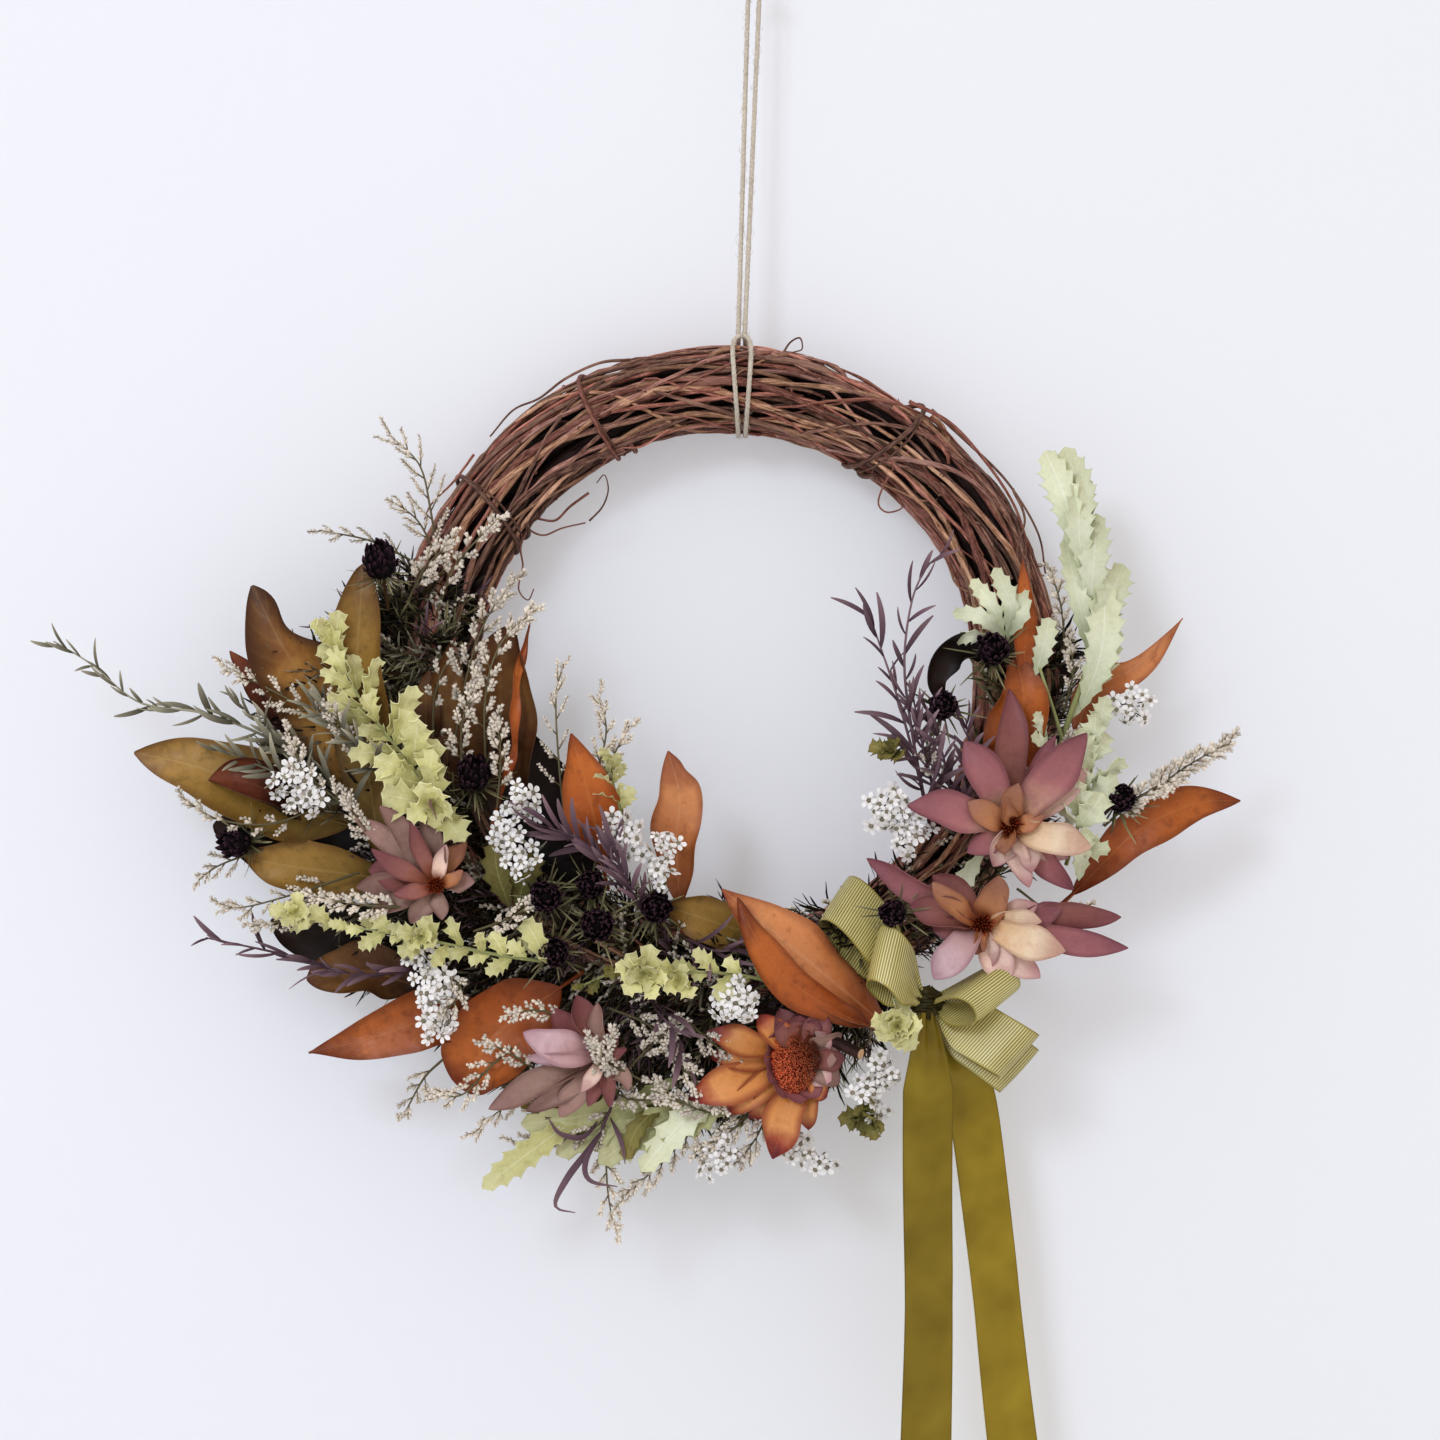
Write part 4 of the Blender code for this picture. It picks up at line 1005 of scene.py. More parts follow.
def build_hanger():
    left_head, right_head = (np.array((side * 3.0, 0.0, -26.6)) * MM for side in (-1, 1))
    left_foot, right_foot = (hitch_point(side * 1.75, 33.3, 6.0) for side in (-1, 1))
    stops = [left_head, left_head * 0.5 + left_foot * 0.5, left_foot, *hitch_half(-1),
        hitch_point(0, 27.6, 10.4)]
    stops += [*reversed(hitch_half(1)), right_foot, right_foot * 0.5 + right_head * 0.5, right_head]
    line = route(stops, 760)
    shape = Shape()
    twine(line, shape)
    fibres(shape, line, 260, 5.0)
    hanger = shape.object("jute_hanger", [JUTE], "hanger")
    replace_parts(hanger, "twine_leg_left", "twine_leg_right", "twine_hitch")

    half = 5.5 - TWINE / 2
    eye = np.array((
        (-1.9, 0, -17.4), (-half, 0, -9.6), (-half * 0.8, 0, -1.6), (0, 0, TWINE / 2),
        (half * 0.8, 0, -1.6), (half, 0, -9.6), (1.9, 0, -17.4),
    )) * MM
    line = route(eye, 120)
    shape = Shape()
    twine(line, shape)
    fibres(shape, line, 24, 3.0)
    loop = shape.object("jute_eye", [JUTE], "hanger_eye")
    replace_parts(loop, "twine_eye")

    turn = np.linspace(0, 2 * pi, 150)
    reach = 2.35 + 1.0 * np.cos(3 * turn)
    knot = np.stack((reach * np.cos(2 * turn), 1.5 * np.sin(3 * turn), KNOT_Z + reach * np.sin(2 * turn)),
        axis=1) * MM
    shape = Shape()
    twine(knot, shape)
    for side in (-1, 1):
        tail = np.array(((side * 1.6, -1.5, KNOT_Z), (side * 4.8, -3.4, KNOT_Z + 1),
            (side * 7.2, -3.0, KNOT_Z - 4))) * MM
        line = route(tail, 24)
        twine(line, shape)
        fibres(shape, line, 16, 3.0)
    lump = shape.object("jute_knot", [JUTE], "hanger_knot")
    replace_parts(lump, "twine_knot")


# ---------------------------------------------------------------- the ribbon bow

RIBBON_WIDTH = 30.0
RIBBON_THICK = 0.45
TIE = (103, -166, 54)

# root, tip, direction across the ribbon at the tip (x, z, depth), height of the loop
BOW_LOOPS = (
    ("upper_left", (98, -161, 42), (56, -114, 36), (0.50, 0.74, -0.46), 24),
    ("lower_left", (100, -165, 55), (77, -140, 64), (0.24, 0.93, -0.30), 17),
    ("upper_right", (107, -165, 50), (138, -161, 68), (0.78, 0.55, -0.30), 18),
    ("lower_right", (107, -168, 47), (151, -194, 52), (0.68, 0.73, -0.06), 13),
    ("rear_right", (107, -170, 38), (152, -203, 37), (0.68, 0.73, -0.06), 10),
)


def strip(line, sideways, cols=16, sag=0.0, pleats=0.0):
    """A closed strip of ribbon. sideways is its half-width vector at each row, and pleats crumple it where
    it is gathered."""
    u = np.linspace(-1, 1, cols + 1)
    along = unit(np.gradient(line, axis=0))
    face = unit(np.cross(sideways, along))
    rise = sag * (1 - u**2)[None, :] + np.reshape(pleats, (-1, 1)) * np.sin(u * 8.0 + 0.6)[None, :]
    dish = rise[..., None] * face[:, None]
    middle = line[:, None] + sideways[:, None] * u[None, :, None] + dish
    normal = unit(np.cross(np.gradient(middle, axis=1), np.gradient(middle, axis=0)))
    return thin_sheet(middle, normal, RIBBON_THICK * MM, run_along(line) * 100, u)


def build_loops():
    for name, root, tip, across, height in BOW_LOOPS:
        root, tip = at(*root), at(*tip)
        reach = (tip - root) * 0.5
        across = unit((across[0], -across[2], across[1]))
        lift = unit(np.cross(reach, across)) * height * MM / 2
        apart = unit(lift) * 0.85 * MM
        turn = pi * (0.10 + 1.80 * np.linspace(0, 1, 72))[:, None]
        bulge = np.sin(turn) * (1 - np.cos(turn)) / 1.3
        line = root + reach * (1 - np.cos(turn)) - lift * bulge - apart * np.cos(turn / 2)
        spread = 0.24 + 0.76 * np.sin(np.minimum(1.0, (1 - np.cos(turn)) / 1.1) * pi / 2)
        line = resampled(line, np.linspace(0, 1, 72))
        shape = Shape()
        shape.add(strip(line, across * RIBBON_WIDTH * MM / 2 * spread, sag=0.5 * MM,
            pleats=(1 - spread) * 1.6 * MM), 0.7)
        loop = shape.object(f"bow_{name}", [RIBBED, RIBBED])
        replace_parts(loop, f"ribbon_loop_{name}")


def build_tie():
    """The pinch at the middle of the bow: a narrow band of gathered ribbon round the roots of the loops,
    painted near-black as the shade where the loops meet.
    """
    shape = Shape()
    centre = at(*TIE)
    for k in range(5):
        offset = (k - 2) * 1.9
        turn = np.linspace(0, 2 * pi, 40)
        wide = 5.2 - 0.5 * abs(k - 2)
        x, z, depth = TIE[0] + offset * 0.5, TIE[1] + offset * 1.1, TIE[2]
        line = places([
            (x + (wide + 0.4 * sin(3 * a + k)) * cos(a), z + 0.9 * sin(a + k),
             depth + wide * sin(a)) for a in turn
        ])
        shape.add(tube(line, 1.5 * MM, 8, flat=0.6), 0.0)
    for k in range(9):
        turn = 2 * pi * k / 9 + 0.3
        tip = centre + np.array((8.5 * cos(turn), -1.0 - 2 * sin(3 * turn), 8 * sin(turn))) * MM
        t = np.linspace(0, 1, 14)
        line = route((centre, centre * 0.5 + tip * 0.5 + FRONT * 2 * MM, tip), 14)
        shape.add(blade(line, (1.8 + 1.4 * t) * MM, FRONT, cols=6, cup=(0.9, 0.7), thick=RIBBON_THICK * MM),
            0.05)
    core = route((centre + (0, 0, 0.008), centre, centre - (0, 0, 0.008)), 12)
    shape.add(tube(core, 4.6 * MM * np.sin(np.linspace(0.5, pi - 0.5, 12)), 16), 0.0)
    tie = shape.object("gathered_tie", [PINCH_SHADE, PINCH_SHADE])
    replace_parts(tie, "ribbon_tie")


# foot at the tie, top of the free part, end, phase of its sway, look, and its painted light: how much lighter
# than its look the tail is painted, the right one as if lit
TAILS = {
    "left": ((103, -171, 57), (104, -204, 52), (103, -424, 52), 0.6, SATIN, -0.08),
    "right": ((107, -173, 42), (128.5, -222, 24), (155, -436, 24), 2.0, SATIN_LIT, 0.3),
}
TAIL_YAW = radians(28)
TAIL_COLS = 18


def build_tails():
    for name, (foot, top, end, phase, look, painted_lightness) in TAILS.items():
        foot, top, end = at(*foot), at(*top), at(*end)
        down = unit(end - top)
        across = np.array((cos(TAIL_YAW), sin(TAIL_YAW), 0.0))
        across = unit(across - down * (across @ down))
        bend = foot * 0.45 + top * 0.55 + FRONT * 1.2 * MM
        line = route((foot, bend, top, top * 0.66 + end * 0.34, top * 0.3 + end * 0.7, end), 130)
        run = np.linspace(0, 1, 130)[:, None]
        sway = np.sin(run * 2 * pi * 1.1 + phase) * np.clip(run * 3 - 0.6, 0, 1) * 1.6 * MM
        line = line + np.cross(across, down) * sway
        share = np.interp(run[:, 0], (0, 0.05, 0.16, 1), (0.34, 0.6, 1.0, 1.0))[:, None]
        turning = np.radians(np.interp(run[:, 0], (0, 0.2, 0.6, 1), (0, 0, 5, -4)))[:, None]
        normal = np.cross(across, down)
        sideways = (across * np.cos(turning) + normal * np.sin(turning)) * RIBBON_WIDTH * MM / 2 * share
        shape = Shape()
        # The tint is lowest at the tail's foot by the tie, then each tail's painted light is added to it.
        tint = np.interp(run[:, 0], (0, 0.1, 0.3, 1), (0.0, 0.4, 0.3, 0.35))
        tint = np.tile(np.repeat(tint, TAIL_COLS + 1), 2) + painted_lightness
        shape.add(strip(line, sideways, TAIL_COLS, 0.5 * MM, (1 - share[:, 0]) * 1.8 * MM), tint)
        tail = shape.object(f"ribbon_streamer_{name}", [look, SATIN], None)
        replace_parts(tail, f"ribbon_tail_{name}", f"ribbon_root_{name}")
        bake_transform(tail)


# ---------------------------------------------------------------- magnolia leaves

LEAF_FACES = {
    "ochre": (OCHRE, OCHRE_BACK),
    "golden": (GOLDEN, OCHRE_BACK),
    "brown": (BROWN, DARK_AND_SHADE),
    "dark": (DARK_AND_SHADE, DARK_AND_SHADE),
    "orange": (ORANGE, ORANGE_BACK),
    "orange_lit": (ORANGE_LIT, ORANGE_BACK),
    "back": (ORANGE_BACK, ORANGE),
    "rust": (RUST, DARK_AND_SHADE),
}

# piece, whether it stands for a CAD leaf, colours, stops (x, z, depth) from base to tip, width, how it bends
MAGNOLIA = (
    ("ochre_upright", 1, "ochre", ((-177, -95, 26), (-184, -62, 30), (-191, 0, 38), (-189, 40, 40),
        (-188, 60, 36)), 35,
     dict(cup=(0.35, 0.45), belly=0.5, tip=0.55, facing=(-0.2, -1, 0.1), wave=(1.5 * MM, 1.5, 0.2))),
    ("brown_upper_left", 1, "golden", ((-192, -62, 24), (-206, -20, 30), (-228, 14, 32), (-247, 49, 26)), 48,
     dict(cup=(0.4, -0.5), belly=0.5, tip=0.75, facing=(0.3, -1, 0.1), twist=(0, -22),
         dip=(0.55, 0.78, 0.13))),
    ("ochre_left", 1, "ochre", ((-196, -76, 26), (-232, -64, 34), (-272, -46, 34), (-308, -38, 28)), 42,
     dict(cup=(0.35, 0.35), belly=0.42, tip=0.75, facing=(-0.1, -1, 0.3))),
    ("rust_cup_left", 0, "rust", ((-222, -72, 34), (-236, -58, 42), (-252, -52, 44), (-268, -52, 38)), 30,
     dict(cup=(1.5, 1.2), belly=0.45, tip=0.8, facing=(0.1, -1, 0.5))),
    ("rust_tip_left", 0, "rust", ((-226, -30, 24), (-240, -8, 30), (-258, 15, 30)), 15, dict(cup=(0.5, 0.3))),
    ("olive_lower_left", 1, "ochre", ((-176, -104, 26), (-205, -100, 32), (-232, -96, 34), (-250, -92, 30)),
     30,
     dict(cup=(0.6, 0.4), belly=0.5, tip=0.6)),
    ("dark_left", 0, "dark", ((-186, -92, 20), (-218, -86, 24), (-246, -80, 24), (-268, -76, 20)), 40,
     dict(cup=(0.4, 0.3), tip=0.6)),
    ("dark_left_low", 0, "dark", ((-176, -130, 20), (-208, -132, 24), (-238, -126, 20)), 36,
     dict(cup=(0.4, 0.3), tip=0.6)),
    ("orange_curled", 1, "brown", ((-113, -78, 26), (-116, -30, 34), (-117, 6, 38), (-111, 28, 40)), 42,
     dict(cup=(0.35, 0.7), belly=0.5, tip=0.6, facing=(-0.2, -1, 0.05), wave=(2 * MM, 2, 0.3))),
    ("orange_curled_edge", 0, "orange", ((-118, -66, 44), (-110, -34, 49), (-109, -6, 47), (-104, 18, 44),
        (-101, 30, 42)), 7,
     dict(cup=(0.9, 0.9), tip=0.7, wave=(1.5 * MM, 3.5, 0.1), facing=(0.9, -1, 0))),
    ("small_brown_upright", 1, "brown", ((-142, -70, 26), (-146, -25, 32), (-143, 8, 34), (-141, 22, 32)), 26,
     dict(cup=(0.5, 0.5), tip=0.9)),
    ("olive_tip", 0, "brown", ((-155, -40, 30), (-156, -16, 34), (-154, 5, 34)), 17, dict(cup=(0.4, 0.3))),
    ("dark_inner", 1, "dark", ((-68, -106, 22), (-86, -80, 28), (-102, -50, 30), (-112, -22, 30)), 46,
     dict(cup=(-0.4, 0.3), tip=0.7, facing=(0.2, -1, 0.2))),
    ("orange_inner_left", 1, "orange", ((-64, -96, 34), (-68, -72, 42), (-74, -48, 45), (-80, -28, 44)), 31,
     dict(cup=(0.35, -0.25), belly=0.36, tip=0.9, facing=(0.1, -1, 0.1))),
    ("orange_inner_right", 1, "orange_lit", ((-24, -118, 28), (-26, -84, 36), (-24, -60, 41), (-30, -37, 42)),
     26,
     dict(cup=(0.5, 0.35), belly=0.62, tip=0.85, facing=(-0.15, -1, 0), wave=(1.8 * MM, 1.5, 0.4),
         dip=(0.3, 0.86, 0.06))),
    ("golden_inner", 1, "ochre", ((20, -134, 26), (0, -128, 32), (-18, -122, 35), (-30, -118, 32)), 26,
     dict(cup=(0.5, 0.5), tip=0.5)),
    ("orange_large", 1, "orange_lit", ((82, -179, 38), (57, -157, 50), (28, -133, 57), (-2, -108, 54)), 38,
     dict(cup=(0.25, -0.5), belly=0.45, tip=0.85, facing=(0.25, -1, 0.25), wave=(1.5 * MM, 1.2, 0.2))),
    ("orange_large_flap", 0, "orange", ((74, -179, 44), (51, -167, 58), (29, -151, 64), (14, -130, 63),
        (6, -112, 58)), 22,
     dict(cup=(1.1, 0.2), belly=0.45, tip=0.8, facing=(-0.35, -1, -0.35), wave=(1.6 * MM, 1.6, 0.5))),
    ("brown_lower_left", 1, "brown", ((-160, -160, 26), (-184, -152, 32), (-202, -152, 35),
        (-218, -156, 30)), 32,
     dict(cup=(0.8, 0.6), tip=0.7, facing=(0, -1, 0.3))),
    ("orange_lower_left", 1, "orange", ((-112, -180, 28), (-150, -176, 34), (-184, -186, 36),
        (-217, -194, 30)), 32,
     dict(cup=(0.25, 0.55), belly=0.4, tip=1.0, facing=(0, -1, 0.35), wave=(1.2 * MM, 1.3, 0.2))),
    ("orange_lower", 1, "orange", ((-86, -160, 32), (-112, -178, 40), (-128, -196, 41), (-138, -212, 35)), 48,
     dict(cup=(0.35, 0.5), belly=0.55, tip=0.5, facing=(-0.1, -1, 0.2), wave=(1.5 * MM, 1.4, 0.0))),
    ("orange_upper_right", 1, "orange_lit", ((182, -28, 24), (192, -4, 31), (210, 5, 33), (225, 18, 31),
        (238, 32, 26)), 22,
     dict(cup=(0.5, 0.9), belly=0.36, tip=1.0, facing=(0.1, -1, -0.2), twist=(0, 55),
         wave=(1.5 * MM, 1, 0.2))),
    ("orange_right", 1, "orange", ((180, -112, 28), (212, -80, 35), (242, -65, 32), (268, -63, 26)), 25,
     dict(cup=(0.35, 0.45), belly=0.58, tip=0.85, facing=(0.1, -1, 0.3))),
    ("orange_right_inner", 1, "orange", ((146, -70, 30), (148, -40, 36), (154, -10, 41), (150, 12, 38)), 32,
     dict(cup=(0.4, 0.45), belly=0.5, tip=0.6, facing=(-0.15, -1, 0.1))),
    ("narrow_upright_right", 0, "orange", ((154, -6, 36), (155, 24, 42), (154, 46, 44), (153, 62, 44)), 12,
     dict(cup=(0.4, 0.3), tip=0.9)),
    ("dark_curl_right", 0, "dark", ((140, 6, 32), (127, 18, 38), (114, 14, 43), (108, 0, 43),
        (113, -14, 38)), 20,
     dict(cup=(1.2, 0.9), tip=0.8, facing=(0.5, -1, -0.6))),
)


def build_magnolia():
    for number, (name, in_frame, tone, stops, width, how) in enumerate(MAGNOLIA):
        how = dict(how)
        belly, tip, base = how.pop("belly", 0.45), how.pop("tip", 0.8), how.pop("base", 0.7)
        rows = 56
        t = np.linspace(0, 1, rows)
        line = route(places(stops), rows)
        half = oval(t, belly, base, tip) * width / 2 * MM
        dip, dip_at, dip_wide = how.pop("dip", (0.0, 0.8, 0.12))
        notch = dip * np.exp(-(((t - dip_at) / dip_wide) ** 2))
        right = half * (1 - notch + 0.07 * np.sin(t * 15 + number * 2.1) * np.sin(t * 4 + number))
        left = half * (1 + 0.08 * np.sin(t * 13 + number) * np.sin(t * 5 + number * 1.7))
        half = np.stack((left, right), axis=1)
        how.setdefault("wave", (1.6 * MM, 1.3 + 0.4 * (number % 3), number * 0.37))
        sides = how.pop("cup", (0.3, 0.3))
        how["cup"] = [
            side + 0.3 * np.sin(2 * pi * (t * 1.3 + number * 0.31 + k * 0.4)) for k, side in enumerate(sides)
        ]
        shape = Shape()
        shape.add(blade(line, half, cols=26, thick=0.5 * MM, **how), 0.25 + 0.5 * ((number * 0.37) % 1))
        anchor = line[0] - unit(line[3] - line[0]) * 14 * MM + np.array((0, 1, 0)) * 5 * MM
        stalk = tube(route((anchor, line[0], line[5] + np.array((0, 0.0006, 0))), 12),
            np.linspace(1.5, 0.7, 12) * MM, 8)
        stalk["along"] = stalk["along"] * 0 + 0.1
        shape.add(stalk, 0.4)
        leaf = shape.object(f"leaf_{name}", LEAF_FACES[tone])
        if in_frame:
            node = "magnolia_leaf_brown_upright" if name == "small_brown_upright" else f"magnolia_leaf_{name}"
            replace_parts(leaf, node)


# ---------------------------------------------------------------- heads with coloured bracts


def bract(
    shape, centre, heading, length, width, look, lift, tip, start=2.0, cup=0.45, sharp=0.74, sway=0.0,
    belly=0.54, twirl=34
):
    """A bract that leaves centre in the direction heading, degrees. lift and tip are its rise to the viewer,
    sharp the shape of its tip, sway its sideways bow and twirl the most that its tip turns, degrees."""
    x, z, depth = centre
    c, s = cos(radians(heading)), sin(radians(heading))
    stops = []
    for share, rise in ((0, 0.0), (0.3, 0.8), (0.65, 1.0), (1.0, tip / max(lift, 0.1))):
        out = start + (length - start) * share
        aside = sway * sin(pi * share) * 2
        stops.append(at(x + c * out - s * aside, z + s * out + c * aside, depth + lift * rise))
    rows = 30
    t = np.linspace(0, 1, rows)
    line = route(stops, rows)
    half = oval(t, belly, 0.62, sharp) * width / 2 * MM
    tilt = (rng.uniform(-0.4, 0.4), -1, rng.uniform(-0.4, 0.4))
    sides = [cup * rng.uniform(0.5, 1.7) + 0.5 * np.sin(2 * pi * (t * 0.7 + rng.uniform())) for _ in range(2)]
    half = np.stack([
        half * (1 + rng.uniform(0.04, 0.14) * np.sin(t * rng.uniform(6, 12) + rng.uniform(0,
            6))) for _ in range(2)
    ], axis=1)
    turn = (rng.uniform(-8, 8), rng.uniform(-twirl, twirl))
    wave = (0.6 * MM, 1.3, rng.uniform())
    made = blade(line, half, tilt, cols=12, cup=sides, fold=0.05, wave=wave, twist=turn, thick=0.5 * MM)
    shape.add(made, rng.uniform(0.2, 0.8), look)


def heart(shape, centre, count, reach, look, tall):
    """The tuft of short filaments in the middle of a head."""
    x, z, depth = centre
    for k in range(count):
        turn = 2.4 * k
        out = reach * (k / count) ** 0.5
        lean = out / reach
        forward = unit((cos(turn) * lean, -1.3, sin(turn) * lean))
        origin = at(x + out * 0.6 * cos(turn), z + out * 0.6 * sin(turn), depth)
        axes = basis(forward, (-cos(turn), -0.3, -sin(turn)))
        scale = (0.55, tall / 4.6 * rng.uniform(0.7, 1.1), 1)
        stamp(shape, SCALE, origin, axes, scale, rng.uniform(), look)


def both_faces(*looks):
    """Looks for pieces whose front and back are alike."""
    return [look for look in looks for _ in range(2)]


BRACT_LOOKS = both_faces(MAUVE, PINK, ROSE, TAWNY, HEART, DUSTY, CREAM, LILAC)
M, P, R, T, H, D, C, L = range(0, 16, 2)

# centre (x, z, depth), then each bract: heading, length, width, colour, lift, tip; the last lie on top
HEADS = {
    "leucadendron_right_upper": ((146, -76, 52), (
        (90, 71, 18, R, 2, -4), (64, 52, 15, M, 4, 6), (3, 18, 15, M, 3, 2), (-45, 46, 17, M, 2, -2),
        (-28, 34, 13, P, 2, 0),
        (245, 22, 16, P, 6, 8), (-65, 25, 14, P, 6, 10), (-73, 32, 13, P, 5, 8), (210, 26, 14, M, 5, 6),
        (255, 14, 13, T, 8, 10),
        (168, 54, 20, M, 7, 2), (118, 50, 22, M, 8, 3), (51, 62, 23, M, 9, 4), (37, 50, 14, P, 3, -1),
        (-14, 42, 19, C, 10, 8), (150, 26, 14, T, 9, 8), (82, 23, 13, T, 11, 12), (100, 16, 9, T, 11, 13),
        (20, 18, 10, T, 8, 10),
    )),
    "leucadendron_right_lower": ((131, -126, 58), (
        (3, 72, 17, R, 1, -3), (-9, 76, 16, M, 2, 1), (150, 68, 17, M, 0, -4), (22, 30, 16, P, 6, 8),
        (14, 44, 15, M, 4, 3),
        (165, 38, 20, R, 6, 2), (135, 36, 18, R, 4, 4), (180, 26, 14, R, 5, 2), (-42, 40, 16, P, 5, 4),
        (-64, 32, 17, P, 7, 4),
        (-78, 22, 10, P, 7, 6), (139, 34, 14, T, 9, 8), (73, 27, 17, T, 9, 11), (60, 20, 12, T, 6, 8),
        (-17, 44, 19, C, 10, 7),
        (4, 30, 12, C, 8, 8), (227, 37, 20, L, 10, 7), (255, 15, 8, T, 9, 10), (270, 13, 6, T, 9, 12),
    )),
    "leucadendron_left": ((-149, -106, 46), (
        (55, 27, 12, T, 4, 6), (205, 36, 14, D, 2, 2), (182, 42, 16, D, 2, -2), (140, 54, 13, D, 6, 8),
        (95, 47, 15, D, 8, 10),
        (168, 36, 20, R, 3, 0), (125, 50, 14, D, 7, 10), (5, 20, 12, D, 4, 6), (235, 24, 12, D, 3, 2),
        (150, 38, 10, R, 8, 10),
        (110, 36, 10, R, 9, 12), (75, 22, 8, P, 8, 11), (30, 16, 8, T, 6, 8), (280, 18, 10, D, 3, 4),
        (190, 22, 9, R, 8, 8),
    )),
    "leucadendron_bottom": ((-64, -194, 50), (
        (135, 36, 16, R, 4, 6), (112, 34, 18, R, 4, 4), (94, 28, 14, D, 5, 6), (205, 64, 17, D, 4, 2),
        (216, 48, 14, D, 2, 0),
        (235, 38, 15, D, 2, 0), (162, 42, 20, L, 9, 8), (180, 38, 12, L, 8, 8), (255, 26, 10, R, 6, 6),
        (280, 26, 9, R, 6, 8),
        (310, 22, 10, D, 4, 6), (70, 16, 8, R, 7, 10), (20, 14, 8, R, 7, 9), (240, 20, 8, P, 8, 10),
    )),
}


def build_heads():
    for name, (centre, bracts) in HEADS.items():
        shape = Shape()
        x, z, depth = centre
        for k, (heading, length, width, look, lift, tip) in enumerate(bracts):
            place = (x, z, depth + 4 * k / len(bracts))
            cup, sway = rng.uniform(0.35, 0.6), rng.uniform(-1.2, 1.2)
            bract(shape, place, heading, length, width, look, lift, tip, cup=cup, sway=sway)
        if "bottom" not in name:
            heart(shape, (x, z, depth + 6), 46, 6.5 if "right" in name else 4.0, H, 6.0)
        stem = route((at(x * 0.94, z * 0.94, depth - 22), at(x, z, depth + 5)), 8)
        shape.add(tube(stem, 3.2 * MM, 12), 0.3, H)
        head = shape.object(f"{name}_flower", BRACT_LOOKS)
        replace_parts(head, name)


PROTEA_LOOKS = [PROTEA, TAWNY, *both_faces(ROSE, ROSE, DUSTY, MAUVE, FUZZ, PINK)]
PROTEA_CENTRE = (38, -195, 52)
CUP_BLADES = 12
FUZZ_HAIRS = 2600


def build_protea():
    """The orange head with a cup of stiff bracts round a bed of rust-red fuzz."""
    shape = Shape()
    x, z, depth = PROTEA_CENTRE
    # heading, length, width, how far forward it starts, rise of its tip, look
    outer = (
        (180, 46, 15, 0, 1, 0), (216, 49, 17, -1, 0, 0), (232, 42, 14, -3, -2, 0), (277, 38, 14, -2, 0, 0),
        (240, 38, 12, -4, -3, 0),
        (164, 50, 17, 2, 3, 0), (200, 62, 21, 2, 1, 0), (255, 54, 21, 2, 1, 0), (134, 31, 17, 3, 5, 0),
        (112, 28, 16, 4, 6, 4),
        (60, 27, 15, 3, 5, 2), (30, 25, 15, 3, 5, 6), (0, 23, 14, 3, 5, 2), (-30, 24, 14, 2, 4, 6),
        (86, 26, 15, 3, 5, 2), (-58, 25, 12, 1, 2, 0),
    )
    for heading, length, width, back, tip, look in outer:
        bract(shape, (x, z, depth - 7 + back), heading, length, width, look, 8, tip, 8.0, 0.5, sharp=0.85,
            belly=0.52, twirl=10)
    for k in range(CUP_BLADES):
        turn = 2 * pi * k / CUP_BLADES
        base = at(x - 4 + 7 * cos(turn), z + 11 * sin(turn), depth - 9)
        middle = at(x - 1.5 + 14.0 * cos(turn), z + 17.0 * sin(turn), depth + 2)
        top = at(x + 18.6 * cos(turn), z + 22.5 * sin(turn), depth + 6.5 + 1.5 * sin(5 * k))
        t = np.linspace(0, 1, 16)
        inward = (-cos(turn), -0.25, -sin(turn))
        line = route((base, middle, top), 16)
        look = (6, 12)[k % 2] if k in (0, 1, 11) else 2
        half = oval(t, 0.66, 0.5, 0.62) * rng.uniform(6.0, 7.4) * MM
        made = blade(line, half, inward, cols=10, cup=(0.35, 0.35), thick=0.5 * MM)
        shape.add(made, rng.uniform(0.2, 0.8), look)
    for k in range(FUZZ_HAIRS):
        turn, out = 2.39996 * k, (k / FUZZ_HAIRS) ** 0.5
        rise = 4.5 * out**2
        spot = (x - 2.6 + 12.6 * out * cos(turn), z + 18.2 * out * sin(turn),
            depth - 1 + rise + rng.uniform(-0.5, 0.5))
        lean_x, lean_z = -cos(turn) * out * 0.7, -sin(turn) * out * 0.7
        forward = unit((lean_x + rng.normal() * 0.25, -1, lean_z + rng.normal() * 0.25))
        # The fuzz is painted darker towards its upper right and lighter towards its lower left: painted
        # shade.
        shade = np.clip(0.6 - 0.75 * out * cos(turn - 0.5) + rng.uniform(-0.14, 0.14), 0, 1)
        stamp(shape, SLIVERS[k % 3], at(*spot), basis(forward, any_way()), (0.34, 0.18, 0.4), shade, 10)
    stem = route((at(x, z, depth - 30), at(x, z, depth - 4)), 8)
    shape.add(tube(stem, np.linspace(3, 9.5, 8) * MM, 16), 0.3, 10)
    head = shape.object("protea_flower", PROTEA_LOOKS)
    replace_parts(head, "protea")


# ---------------------------------------------------------------- sprigs, sprays and small flowers


def turned(direction, axis, angle):
    """direction turned about axis by an angle in degrees."""
    spin = Matrix.Rotation(radians(angle), 3, Vector(axis))
    return np.array(spin @ Vector(direction))


